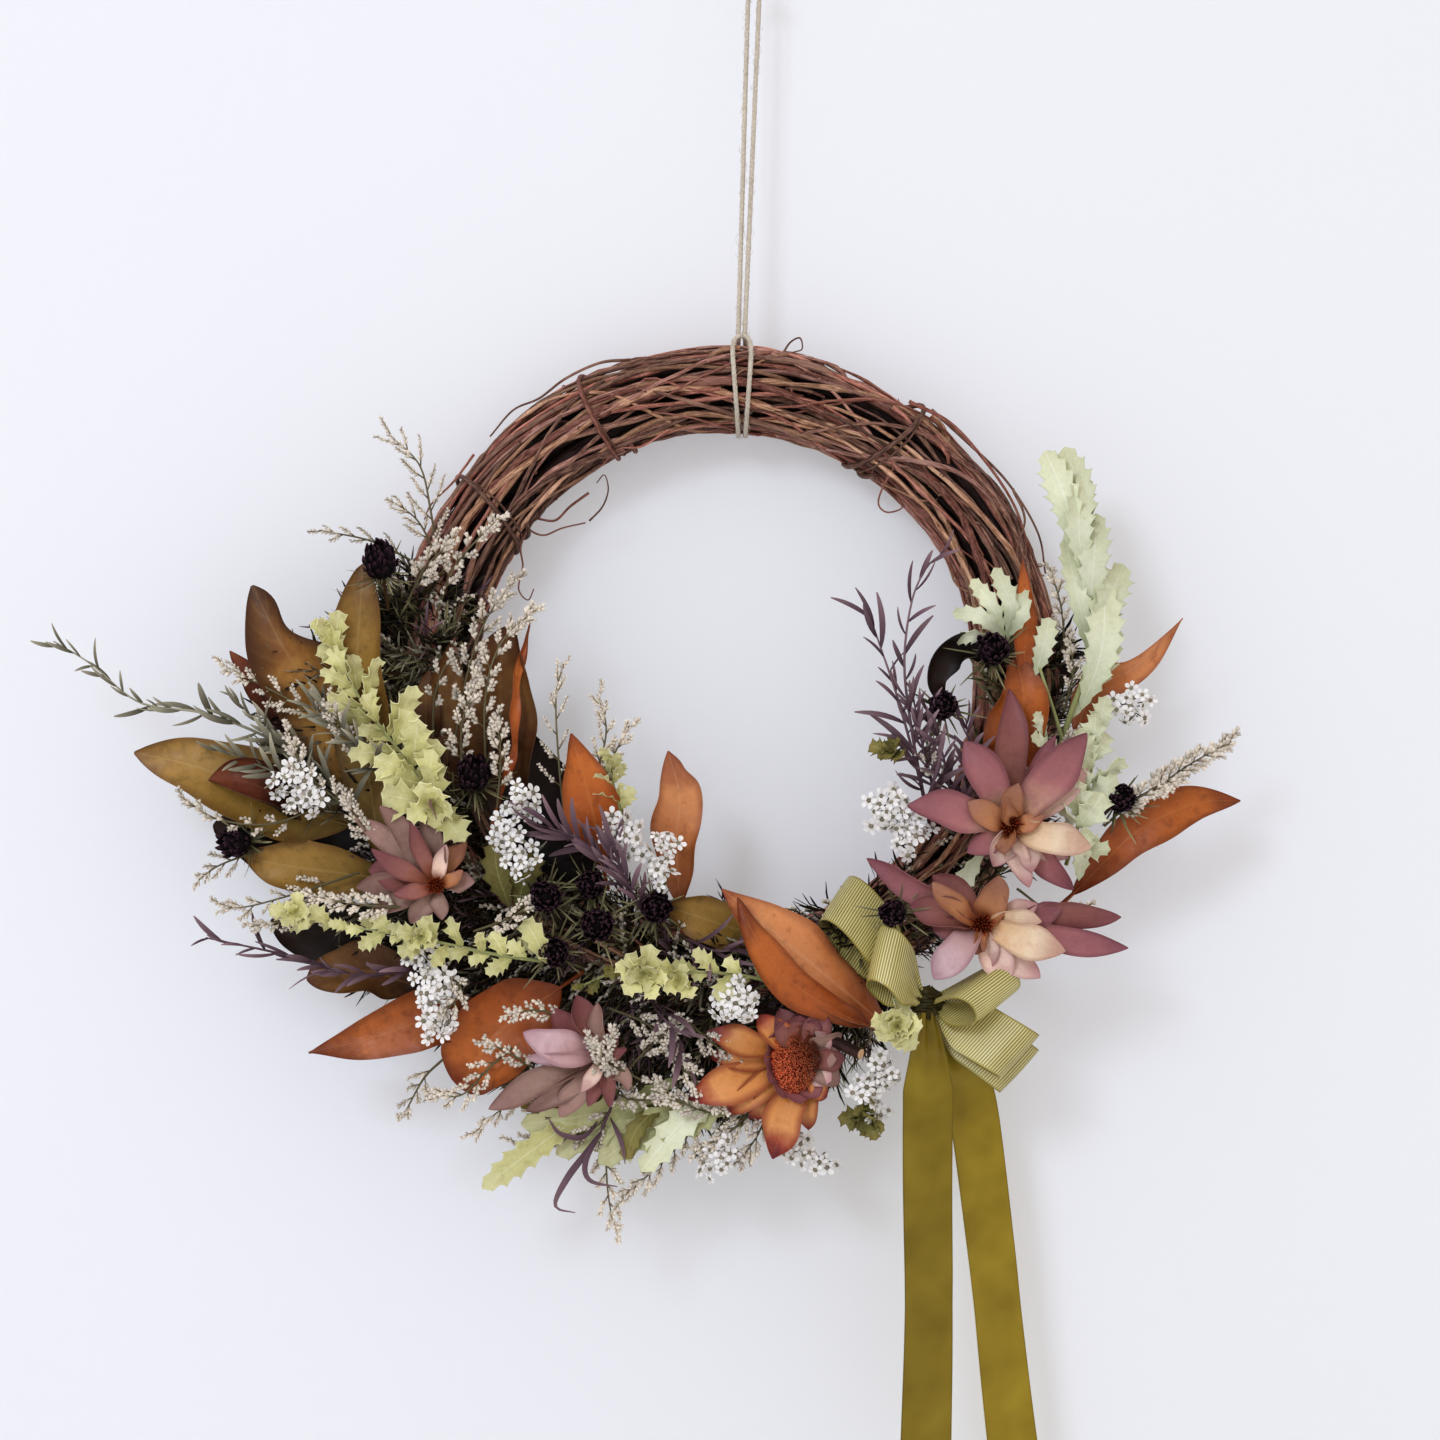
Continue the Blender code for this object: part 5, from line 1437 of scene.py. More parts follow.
def serrated_sprig(shape, stops, count, size, spread, look=0, tip_size=0.8, width=1.0):
    """A stem with toothed leaves that clasp it; the first stop is its foot."""
    line = route(places(stops), 40)
    shape.add(tube(line, np.linspace(1.1, 0.6, 40) * MM, 7), 0.5, STEM)
    for k in range(count):
        share = 0.12 + 0.86 * k / max(count - 1, 1)
        at_row = int(share * 38)
        ahead = unit(line[at_row + 1] - line[at_row])
        side = 1 if k % 2 else -1
        facing = unit(FRONT + 0.6 * any_way())
        forward = turned(ahead, FRONT, side * (spread * (1.1 - 0.75 * share) + rng.uniform(-28, 22)))
        forward = unit(forward + FRONT * rng.uniform(-0.1, 0.75))
        scale = size / 20 * (1 + (tip_size - 1) * share) * rng.uniform(0.72, 1.2)
        axes = basis(forward, facing, side * rng.uniform(-0.3, 0.8))
        stamp(shape, JAGGED_LEAVES[k % 3], line[at_row], axes, (scale * width, scale, scale),
            rng.uniform(0.15, 0.85), look)


def rosette(shape, centre, count, size, look=0, tilt=(0, -1, 0), width=1.1):
    """A whorl of toothed leaves seen from its tip."""
    origin = at(*centre)
    axis = unit(tilt)
    first = unit(np.cross(axis, (0.2, 0.1, 0.9)))
    for k in range(count):
        out = turned(first, axis, SPIRAL * k)
        rise = 0.3 + 1.3 * k / count + rng.uniform(-0.2, 0.2)
        forward = unit(out + axis * rise + 0.2 * any_way())
        facing = unit(axis - out * 0.6 * rise)
        scale = size / 20 * (1.05 - 0.45 * k / count) * rng.uniform(0.8, 1.15)
        axes = basis(forward, facing, rng.uniform(-0.4, 0.4))
        stamp(shape, JAGGED_LEAVES[k % 3], origin, axes, (scale * width, scale, scale * 1.6), rng.uniform(),
            look)


STEM = 6  # the place of the stem in the looks of a serrated sprig
GREEN_LOOKS = [*both_faces(JAGGED, JAGGED_PALE, JAGGED_OLIVE), STEM_GREEN, SAGE, SAGE]


def build_serrated():
    shape = Shape()
    stops = ((-146, -66, 46), (-158, -50, 50), (-172, -32, 50), (-190, -8, 46), (-200, 14, 42),
        (-204, 28, 40))
    serrated_sprig(shape, stops, 28, 26, 60, width=0.92, tip_size=0.75)
    rosette(shape, (-150, -64, 54), 8, 24)
    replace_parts(shape.object("serrated_upper_left", GREEN_LOOKS), "serrated_sprig_upper_left")

    shape = Shape()
    stops = ((-88, -146, 50), (-116, -142, 52), (-145, -136, 52), (-175, -130, 50), (-205, -126, 46),
        (-228, -118, 42))
    serrated_sprig(shape, stops, 22, 17, 50)
    rosette(shape, (-222, -120, 48), 7, 16)
    rosette(shape, (-156, -132, 54), 6, 14)
    rosette(shape, (-96, -137, 52), 4, 12)
    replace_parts(shape.object("serrated_left", GREEN_LOOKS), "serrated_sprig_left")

    shape = Shape()
    serrated_sprig(shape, ((26, -156, 56), (8, -152, 58), (-14, -150, 60), (-34, -150, 60),
        (-46, -151, 58)), 12, 14, 60, tip_size=1.2)
    rosette(shape, (-42, -151, 62), 9, 19)
    rosette(shape, (-24, -154, 62), 5, 16)
    serrated_sprig(shape, ((-54, -70, 36), (-58, -56, 40), (-60, -42, 42)), 8, 14, 50, tip_size=0.9)
    serrated_sprig(shape, ((-38, -152, 48), (-54, -150, 46), (-74, -158, 46)), 5, 12, 40, look=4)
    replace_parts(shape.object("serrated_centre", GREEN_LOOKS), "serrated_sprig_centre")

    shape = Shape()
    for foot, middle, tip, width, look, teeth in (
        ((-70, -222, 40), (-96, -240, 46), (-126, -263, 44), 18, 0, 8),
        ((-36, -216, 38), (-72, -225, 44), (-106, -230, 42), 22, 7, 7),
        ((-2, -216, 34), (-34, -228, 44), (-66, -250, 44), 22, 7, 7),
        ((4, -208, 36), (-22, -228, 46), (-44, -254, 46), 20, 2, 7),
        ((-24, -206, 34), (-52, -224, 41), (-88, -246, 40), 22, 7, 7),
        ((10, -206, 34), (-8, -222, 42), (-30, -236, 42), 20, 7, 6),
        ((-60, -216, 36), (-84, -222, 42), (-108, -218, 40), 13, 4, 7),
        ((-30, -216, 40), (-46, -232, 48), (-52, -248, 46), 13, 4, 6),
    ):
        long_leaf(shape, (foot, middle, tip), width, look, teeth)
    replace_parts(shape.object("serrated_bottom", GREEN_LOOKS), "serrated_sprig_bottom")

    shape = Shape()
    tall = ((170, -46, 32), (178, -20, 36), (190, 20, 40), (186, 60, 40), (180, 92, 36), (172, 112, 32))
    shape.add(tube(route(places(tall), 40), np.linspace(1.7, 0.8, 40) * MM, 8), 0.6, STEM)
    for foot, middle, tip, width in (
        ((182, 62, 38), (176, 92, 40), (166, 119, 30), 21),
        ((184, 62, 36), (184, 94, 38), (176, 121, 30), 20),
        ((186, 52, 40), (182, 80, 44), (186, 106, 36), 19), ((188, 30, 38), (190, 60, 44), (192, 86, 36), 20),
        ((189, 14, 38), (198, 40, 42), (206, 60, 34), 21), ((189, 12, 36), (182, 42, 42), (176, 74, 34), 15),
        ((184, -16, 36), (194, 16, 46), (196, 50, 40), 24),
        ((180, -20, 34), (196, 10, 40), (202, 34, 34), 16),
    ):
        long_leaf(shape, (foot, middle, tip), width, 2, 8)
    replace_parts(shape.object("serrated_upper_right", GREEN_LOOKS), "serrated_sprig_upper_right")

    shape = Shape()
    serrated_sprig(shape, ((176, -96, 40), (182, -74, 46), (188, -48, 48), (192, -26, 46)), 11, 26, 46,
        look=2, width=1.0)
    serrated_sprig(shape, ((182, -60, 40), (170, -42, 46), (164, -28, 46)), 5, 22, 44, look=2, width=1.0)
    stem = ((180, -50, 34), (172, -24, 40), (162, 6, 44))
    shape.add(tube(route(places(stem), 24), np.linspace(1.3, 0.8, 24) * MM, 7), 0.6, STEM)
    long_leaf(shape, ((160, 2, 42), (164, 18, 48), (167, 32, 44)), 14, 2, 6)
    for foot, middle, tip, width in (
        ((144, 20, 40), (137, 38, 48), (127, 52, 38), 11), ((144, 20, 42), (131, 32, 52), (117, 34, 44), 11),
        ((146, 20, 40), (146, 40, 48), (139, 58, 36), 12), ((146, 22, 42), (153, 34, 50), (152, 50, 40), 10),
        ((142, 16, 40), (128, 22, 48), (118, 20, 42), 9),
    ):
        long_leaf(shape, (foot, middle, tip), width, 2, 6)
    rosette(shape, (86, -38, 46), 9, 13, look=4, tilt=(-0.4, -1, 0.6))
    rosette(shape, (88, -178, 59), 14, 17, look=0, tilt=(-0.1, -1, 0.2), width=1.2)
    rosette(shape, (72, -224, 46), 8, 16, look=4, tilt=(0, -1, -0.5), width=1.2)
    long_leaf(shape, ((182, -104, 46), (184, -84, 50), (188, -78, 46)), 13, 2, 5)
    long_leaf(shape, ((134, -88, 34), (120, -108, 40), (112, -116, 38)), 13, 2, 5)
    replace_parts(shape.object("serrated_right", GREEN_LOOKS), "serrated_sprig_right")

    shape = Shape()
    long_leaf(shape, ((-112, -118, 36), (-118, -100, 42), (-120, -84, 40)), 18, 4, 5)
    long_leaf(shape, ((-108, -120, 34), (-104, -102, 40), (-98, -90, 36)), 18, 4, 5)
    long_leaf(shape, ((-92, -146, 56), (-98, -132, 58), (-104, -124, 52)), 15, 0, 4)
    shape.object("olive_leaves_left", GREEN_LOOKS)


def long_leaf(shape, stops, width, look, teeth):
    """One larger toothed leaf with a pale midrib."""
    shares = tooth_shares(teeth)
    line = resampled(route(places(stops), 60), shares)
    half = oval(shares, 0.62, 0.75, 0.42) * width / 2 * MM
    facing = unit(FRONT + 0.3 * any_way())
    wave = (1.2 * MM, 1.5, rng.uniform())
    made = blade(line, half, facing, shares, 10, (0.25, 0.3), 0.08, wave, teeth=(teeth, 0.36, 0.25))
    shape.add(made, rng.uniform(0.2, 0.8), look)


def limonium_twig(shape, line, size, tint):
    """A fine twig with small papery calyxes that overlap along its outer part."""
    shape.add(tube(line, np.linspace(0.42, 0.25, len(line)) * MM, 4), tint, 1)
    steps = max(3, int(length_of(line) / MM * CALYXES_PER_MM))
    for k in range(steps):
        share = 0.2 + 0.8 * k / steps
        row, ahead = step_at(line, share)
        origin = line[row] + (line[row + 1] - line[row]) * (share * (len(line) - 1) - row)
        side = unit(np.cross(ahead, FRONT)) * (1 if k % 2 else -1)
        forward = unit(ahead * 1.2 + side * rng.uniform(0.2, 0.8) + FRONT * rng.uniform(-0.1, 0.7))
        scale = size * rng.uniform(0.75, 1.2) * (1.1 - 0.3 * share)
        axes = basis(forward, any_way())
        stamp(shape, CALYXES[k % 2], origin, axes, scale, np.clip(tint + rng.uniform(-0.4, 0.4), 0, 1))


def spray(shape, stops, twigs, reach, size, tint):
    """A branching stem of limonium; the first stop is its foot."""
    line = route(places(stops), 36)
    shape.add(tube(line, np.linspace(0.75, 0.35, 36) * MM, 5), tint, 1)
    for k in range(twigs):
        share = BARE_STEM + (0.98 - BARE_STEM) * k / max(twigs - 1, 1)
        row, ahead = step_at(line, share)
        side = 1 if k % 2 else -1
        spread = 42 * (1.15 - 0.6 * share)
        out = turned(ahead, unit(FRONT + 0.3 * any_way()), side * (spread + rng.uniform(-10, 10)))
        out = unit(out + FRONT * rng.uniform(-0.15, 0.35))
        long = reach * (1.1 - 0.55 * share) * rng.uniform(0.7, 1.15) * MM
        bend = unit(ahead + out)
        begin = line[row]
        twig = route((begin, begin + out * long * 0.5, begin + out * long * 0.8 + bend * long * 0.25), 9)
        limonium_twig(shape, twig, size, tint)
    limonium_twig(shape, line[26:], size, tint)


CALYXES_PER_MM = 0.8
BARE_STEM = 0.25  # share of a spray's stem that has no twigs
LIMONIUM_LOOKS = [LIMONIUM, LIMONIUM_STEM]

# stops from foot to tip, twigs, their reach, size of the calyxes
SPRAYS = {
    "limonium_spray_upper_left": (
        (((-150, 60, 20), (-154, 88, 24), (-160, 112, 22), (-176, 128, 20)), 9, 20, 0.75),
        (((-150, 62, 22), (-160, 82, 24), (-172, 92, 24)), 6, 14, 0.8),
        (((-160, 60, 24), (-184, 72, 26), (-212, 78, 24)), 6, 12, 0.7),
        (((-150, 36, 28), (-140, 60, 32), (-118, 84, 34)), 9, 9, 1.15),
        (((-166, 40, 28), (-156, 58, 34), (-142, 72, 34)), 10, 12, 1.15),
        (((-142, -40, 36), (-134, 0, 46), (-124, 30, 48), (-108, 52, 46)), 13, 15, 1.1),
        (((-124, -52, 40), (-124, -10, 50), (-116, 18, 52), (-98, 36, 50)), 13, 15, 1.05),
        (((-136, -60, 42), (-136, -24, 50), (-128, 0, 52)), 10, 12, 1.05),
        (((-152, -30, 36), (-150, -6, 42), (-140, 12, 44), (-124, 0, 46)), 8, 9, 1.0),
        (((-118, -66, 46), (-116, -40, 52), (-118, -18, 52)), 9, 12, 1.05),
        (((-82, -84, 32), (-86, -50, 38), (-88, -10, 40), (-84, 8, 38)), 9, 17, 0.75),
        (((-72, -72, 34), (-66, -46, 38), (-62, -26, 38), (-66, -8, 36)), 9, 14, 0.85),
        (((-70, -76, 34), (-60, -44, 38), (-50, -24, 38)), 7, 12, 1.0),
    ),
    "limonium_spray_bottom": (
        (((-60, -208, 36), (-86, -212, 42), (-112, -220, 40), (-132, -236, 38)), 9, 14, 0.9),
        (((-50, -212, 38), (-66, -230, 44), (-78, -236, 42), (-110, -240, 40)), 9, 14, 0.9),
        (((-60, -220, 36), (-62, -250, 40), (-60, -274, 38), (-56, -288, 36)), 9, 13, 0.95),
        (((0, -214, 36), (-20, -236, 42), (-40, -256, 42), (-54, -268, 40)), 12, 15, 1.0),
        (((20, -212, 38), (4, -232, 44), (-16, -244, 44)), 10, 14, 1.0),
        (((26, -214, 38), (16, -236, 42), (6, -250, 40)), 9, 12, 1.0),
        (((-50, -200, 50), (-36, -186, 54), (-24, -176, 54)), 9, 12, 1.0),
        (((-44, -206, 52), (-60, -196, 60), (-70, -184, 62)), 9, 9, 1.1),
        (((-70, -206, 40), (-50, -216, 50), (-30, -216, 52)), 10, 11, 1.0),
        (((-36, -190, 46), (-18, -204, 52), (-4, -222, 50)), 10, 10, 1.0),
        (((4, -226, 40), (-18, -220, 50), (-38, -206, 52)), 10, 10, 1.0),
        (((-94, -204, 46), (-108, -194, 54), (-124, -186, 54)), 8, 9, 1.0),
        (((-80, -176, 50), (-96, -170, 57), (-112, -172, 57)), 8, 9, 1.0),
        (((-56, -212, 52), (-64, -200, 60), (-58, -182, 62)), 8, 9, 1.1),
        (((-110, -190, 48), (-122, -200, 52), (-136, -214, 50), (-152, -214, 46)), 9, 14, 0.95),
        (((-146, -196, 44), (-156, -206, 46), (-166, -224, 42), (-168, -226, 40)), 6, 12, 0.85),
    ),
    "sprays_left": (
        (((-196, -30, 36), (-220, -14, 40), (-246, 0, 38), (-262, 8, 34)), 9, 14, 0.95),
        (((-190, -100, 36), (-220, -110, 40), (-250, -118, 36), (-264, -116, 34)), 9, 14, 0.9),
        (((-186, -110, 38), (-216, -122, 42), (-246, -128, 38)), 9, 12, 0.95),
        (((-200, -60, 44), (-232, -74, 50), (-262, -72, 48), (-282, -60, 44)), 9, 10, 0.9),
        (((-176, -50, 42), (-196, -28, 48), (-204, -12, 46)), 9, 12, 1.05),
        (((-190, -70, 46), (-214, -50, 52), (-226, -28, 50)), 9, 12, 1.05),
        (((-170, -88, 46), (-186, -76, 54), (-196, -60, 54)), 9, 12, 1.0),
        (((-156, -118, 48), (-186, -116, 54), (-212, -112, 50)), 11, 12, 1.05),
        (((-130, -130, 48), (-110, -122, 54), (-96, -112, 52)), 9, 10, 1.0),
        (((-150, -150, 46), (-136, -160, 54), (-150, -176, 52)), 8, 10, 1.0),
        (((-240, -88, 34), (-262, -96, 36), (-274, -104, 32)), 6, 12, 0.8),
    ),
    "sprays_right": (
        (((204, -66, 36), (222, -56, 42), (240, -44, 40), (262, -32, 36)), 18, 11, 1.2),
        (((196, -76, 36), (212, -62, 42), (230, -54, 40)), 14, 10, 1.2),
        (((176, 10, 30), (174, 36, 36), (168, 58, 34)), 8, 9, 1.0),
        (((176, -16, 30), (180, 4, 36), (178, 20, 36)), 7, 9, 1.0),
        (((160, -52, 44), (172, -40, 50), (178, -30, 48)), 7, 10, 1.0),
        (((120, -60, 40), (104, -40, 46), (108, -20, 44)), 7, 9, 1.0),
        (((150, -108, 46), (168, -120, 50), (186, -118, 46)), 8, 9, 1.0),
        (((140, -40, 40), (152, -48, 46), (160, -58, 48)), 7, 8, 1.0),
        (((-20, -176, 46), (-6, -188, 52), (8, -196, 50)), 8, 12, 1.0),
        (((-60, -170, 44), (-40, -178, 52), (-22, -196, 52)), 9, 12, 1.0),
        (((-10, -212, 44), (0, -200, 50), (14, -186, 48)), 7, 10, 1.0),
    ),
}


def build_limonium():
    for name, group in SPRAYS.items():
        shape = Shape()
        for stops, twigs, reach, size in group:
            spray(shape, stops, twigs + 2, reach, size * 1.02, rng.uniform(0.3, 0.75))
        made = shape.object(f"{name}_florets", LIMONIUM_LOOKS)
        if name.startswith("limonium"):
            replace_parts(made, name)


def bunch(shape, centre, count, reach, size, aim):
    """A flat-topped bunch of small white flowers on fine stalks."""
    origin = at(*centre)
    axis = unit(aim)
    first = unit(np.cross(axis, (0.1, 0.3, 0.95)))
    foot = origin - axis * 22 * MM
    for k in range(count):
        out = turned(first, axis, SPIRAL * k + rng.uniform(-14, 14))
        far = reach * ((k + 0.4) / count) ** 0.55 * rng.uniform(0.88, 1.08)
        spot = origin + out * far * MM - axis * (far**2 / reach * 0.28 + rng.uniform(-1.4, 1.4)) * MM
        lean = unit(axis + out * far / reach * 0.75 + 0.25 * any_way())
        stamp(shape, DAISIES[k % 3], spot, basis(any_way(), lean), size * rng.uniform(0.85, 1.15),
            rng.uniform())
        stalk = route((foot, foot * 0.5 + spot * 0.5 - lean * 2 * MM, spot - lean * 0.5 * MM), 6)
        shape.add(tube(stalk, 0.32 * MM, 4), 0.5, 2)
        if k % 3 == 0:
            bud = spot + (any_way() * 2.5 - lean * 2.5) * MM
            stamp(shape, CALYXES[1], bud, basis(lean, any_way()), 0.9, 0.5, 0)


DAISY_LOOKS = [WHITE, CENTRE, STEM_BROWN]


def build_daisies():
    groups = {
        "white_daisies_left": (
            ((-222, -54, 54), 17, 13, 1.0), ((-214, -62, 54), 9, 9, 1.0), ((-150, -158, 54), 14, 11, 1.0),
            ((-148, -176, 54), 12, 10, 1.0), ((-156, -142, 52), 9, 9, 0.9),
        ),
        "white_daisies_centre": (
            ((-104, -64, 54), 11, 10, 1.0), ((-112, -80, 55), 12, 10, 1.0), ((-104, -94, 55), 9, 10, 1.0),
            ((-54, -78, 56), 13, 11, 1.0),
            ((-30, -84, 54), 6, 7, 0.9), ((-34, -98, 55), 8, 8, 0.95), ((-46, -88, 54), 6, 8, 0.9),
            ((6, -166, 66), 17, 12, 1.05),
        ),
        "white_daisies_right": (
            ((84, -68, 56), 17, 13, 1.05), ((92, -82, 54), 8, 9, 1.0), ((100, -76, 54), 6, 8, 0.95),
            ((210, -14, 44), 15, 11, 0.95),
            ((80, -202, 56), 12, 10, 1.0), ((74, -210, 54), 9, 10, 1.0), ((78, -222, 50), 6, 7, 0.9),
        ),
        "daisies_below": (
            ((38, -244, 44), 11, 10, 0.95), ((50, -250, 42), 6, 8, 0.9), ((0, -242, 48), 12, 11, 0.95),
            ((-10, -250, 44), 7, 8, 0.9),
        ),
    }
    for name, group in groups.items():
        shape = Shape()
        for centre, count, reach, size in group:
            bunch(shape, centre, count, reach, size, (rng.uniform(-0.2, 0.2), -1, rng.uniform(-0.1, 0.25)))
        made = shape.object(f"{name}_bunch", DAISY_LOOKS)
        if name.startswith("white"):
            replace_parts(made, name)


CONE_SCALES = 72


def seed_head(shape, centre, radius, needles, tall, aim):
    """A dark scaly head with narrow leaves below it."""
    origin = at(*centre)
    axis = unit(aim)
    first = unit(np.cross(axis, (0.2, 0.9, 0.3)))
    ball = route((origin - axis * radius * 0.7 * MM, origin, origin + axis * radius * tall * 0.75 * MM), 9)
    swell = np.sin(pi * np.linspace(0.12, 0.9, 9)) ** 0.7
    shape.add(tube(ball, radius * 0.82 * MM * swell, 14), 0.2, 0)
    for k in range(CONE_SCALES):
        rise = -0.55 + 1.5 * k / CONE_SCALES
        out = turned(first, axis, 137.508 * k)
        level = np.clip(rise, -0.98, 0.98)
        normal = unit(out * (1 - level**2) ** 0.5 + axis * level)
        spot = origin + normal * radius * 0.72 * MM + axis * level * radius * (tall - 1) * MM
        forward = unit(normal * 0.6 + axis * 1.0 + 0.35 * any_way())
        axes = basis(forward, unit(normal + 0.2 * any_way()))
        stamp(shape, CONE_SCALE, spot, axes, radius / 9.5 * rng.uniform(0.7, 1.2), rng.uniform())
    for k in range(needles):
        out = turned(first, axis, SPIRAL * k + rng.uniform(-20, 20))
        forward = unit(out - axis * rng.uniform(-0.35, 0.7) + 0.2 * any_way())
        spot = origin - axis * radius * rng.uniform(0.4, 1.1) * MM + out * 1.5 * MM
        axes = basis(forward, unit(axis + 0.3 * any_way()))
        stamp(shape, NEEDLES[k % 3], spot, axes, (1.0, rng.uniform(0.8, 1.35), 1.0), rng.uniform(), 2)
    stem = route((origin - axis * radius * 0.6 * MM, origin - axis * 26 * MM), 8)
    shape.add(tube(stem, 1.0 * MM, 6), 0.5, 3)


SEED_LOOKS = [SEED, SEED, NEEDLE, STEM_BROWN]


def build_seed_heads():
    groups = {
        "seed_head_upper_left": (((-178, 59, 46), 9.5, 26, 1.35, (-0.1, -0.5, 0.85)),),
        "seed_heads_centre": (
            ((-130, -50, 46), 9.5, 26, 1.3, (0, -0.7, 0.6)), ((-93, -112, 50), 9.0, 24, 1.0, (0, -1, 0.1)),
            ((-66, -126, 54), 9.0, 26, 1.0, (0, -1, 0)),
            ((-89, -140, 52), 8.5, 24, 1.0, (0, -1, 0)), ((-70, -106, 50), 8.0, 24, 1.0, (0, -1, 0.2)),
            ((-36, -118, 50), 8.5, 24, 1.0, (0.1, -1, 0.1)),
        ),
        "seed_heads_sides": (
            ((-252, -84, 44), 8.5, 24, 1.2, (-0.8, -0.6, 0)), ((137, 15, 52), 9.0, 26, 1.1, (0, -0.9, 0.4)),
            ((112, -14, 46), 8.0, 20, 1.0, (0, -1, 0.2)),
            ((203, -62, 46), 8.0, 26, 1.1, (0.2, -0.9, 0.3)),
            ((86, -120, 62), 7.5, 22, 1.0, (-0.4, -0.9, 0.1)),
        ),
    }
    for name, group in groups.items():
        shape = Shape()
        for centre, radius, needles, tall, aim in group:
            seed_head(shape, centre, radius, needles, tall, aim)
        made = shape.object(f"{name}_cones", SEED_LOOKS)
        if name != "seed_heads_sides":
            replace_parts(made, name)


def narrow_sprig(shape, stops, count, size, look, spread=38):
    """A stem with narrow leaves all along it; the first stop is its foot."""
    line = route(places(stops), 44)
    shape.add(tube(line, np.linspace(0.95, 0.4, 44) * MM, 6), 0.4, look)
    for k in range(count):
        share = 0.05 + (0.99 - 0.05) * k / max(count - 1, 1)
        row, ahead = step_at(line, share)
        side = 1 if k % 2 else -1
        axis = unit(FRONT + 0.5 * any_way())
        out = turned(ahead, axis, side * (spread + rng.uniform(-24, 26)) * (1.1 - 0.5 * share))
        forward = unit(out + FRONT * rng.uniform(-0.2, 0.5))
        scale = size * rng.uniform(0.65, 1.25) * (1.05 - 0.25 * share)
        axes = basis(forward, unit(FRONT + 0.7 * any_way()))
        leaf = NARROWS[int(rng.integers(len(NARROWS)))]
        stamp(shape, leaf, line[row], axes, (scale, scale, scale * rng.uniform(-1.5, 2.0)), rng.uniform(),
            look)


NARROW_LOOKS = [NARROW_GREY, NARROW_MAUVE]


def build_narrow():
    shape = Shape()
    narrow_sprig(shape, ((-196, -62, 36), (-230, -34, 42), (-268, -18, 40), (-304, -12, 34), (-330, 8, 30),
        (-350, 20, 28)), 36, 1.0, 0)
    narrow_sprig(shape, ((-190, -70, 40), (-216, -44, 46), (-240, -24, 44), (-256, -8, 42)), 20, 0.95, 0)
    narrow_sprig(shape, ((-200, -60, 42), (-232, -48, 46), (-262, -36, 42)), 20, 1.0, 0)
    narrow_sprig(shape, ((-170, -52, 44), (-190, -34, 50), (-214, -14, 48)), 20, 1.0, 0)
    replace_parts(shape.object("narrow_leaves_left", NARROW_LOOKS), "narrow_leaf_sprig_left")

    shape = Shape()
    narrow_sprig(shape, ((106, -78, 40), (98, -44, 46), (88, -8, 46), (80, 16, 44), (74, 34, 40)), 20, 1.15,
        1)
    narrow_sprig(shape, ((104, -70, 42), (96, -28, 48), (92, 8, 46), (96, 40, 42), (104, 58, 38),
        (113, 66, 34)), 18, 1.15, 1, 34)
    narrow_sprig(shape, ((108, -60, 42), (100, -28, 48), (96, -6, 46)), 22, 1.0, 1)
    narrow_sprig(shape, ((118, -70, 42), (112, -40, 48), (104, -16, 46)), 24, 0.95, 1)
    narrow_sprig(shape, ((124, -70, 38), (126, -44, 44), (124, -20, 42)), 20, 0.95, 1)
    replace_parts(shape.object("narrow_leaves_right", NARROW_LOOKS), "narrow_leaf_sprig_right")

    shape = Shape()
    narrow_sprig(shape, ((-200, -152, 36), (-222, -144, 40), (-250, -138, 36), (-270, -134, 34)), 12, 1.1,
        1, 30)
    narrow_sprig(shape, ((-160, -150, 44), (-184, -152, 50), (-206, -150, 46)), 12, 1.1, 1, 30)
    for stops, width in (
        (((-62, -230, 44), (-72, -244, 48), (-82, -258, 46), (-88, -272, 42), (-78, -276, 40)), 4.4),
        (((-64, -232, 46), (-72, -248, 50), (-70, -258, 48), (-56, -262, 44)), 3.6),
        (((-66, -228, 44), (-74, -236, 48), (-86, -234, 48), (-92, -226, 46)), 3.2),
        (((-60, -226, 44), (-54, -238, 48), (-52, -250, 46)), 3.0),
    ):
        line = route(places(stops), 24)
        t = np.linspace(0, 1, 24)
        half = oval(t, 0.6, 0.8, 0.8) * width / 2 * MM
        made = blade(line, half, FRONT, cols=6, cup=(0.6, 0.4), twist=(0, 70), thick=0.5 * MM)
        made["quad_looks"] = made["quad_looks"] * 0
        shape.add(made, 0.6, 1)
    shape.add(tube(route(places(((-50, -200, 44), (-58, -218, 46), (-64, -232, 46))), 12), 0.8 * MM, 6),
        0.3, 1)
    narrow_sprig(shape, ((-52, -110, 50), (-62, -94, 56), (-76, -82, 56), (-92, -76, 54)), 22, 1.15, 1, 34)
    narrow_sprig(shape, ((-44, -118, 50), (-54, -98, 56), (-58, -84, 56)), 16, 1.1, 1, 30)
    narrow_sprig(shape, ((-40, -164, 48), (-28, -176, 54), (-22, -192, 52)), 10, 1.1, 1, 30)
    narrow_sprig(shape, ((-20, -134, 48), (-4, -140, 54), (8, -136, 54)), 9, 1.1, 1, 30)
    shape.object("narrow_leaves_small", NARROW_LOOKS)


# ---------------------------------------------------------------- filler between the flowers

FILL_LOOKS = [NEEDLE, NEEDLE_SHADE, STEM_BROWN, NARROW_MAUVE, NARROW_GREY, LIMONIUM, LIMONIUM_STEM]
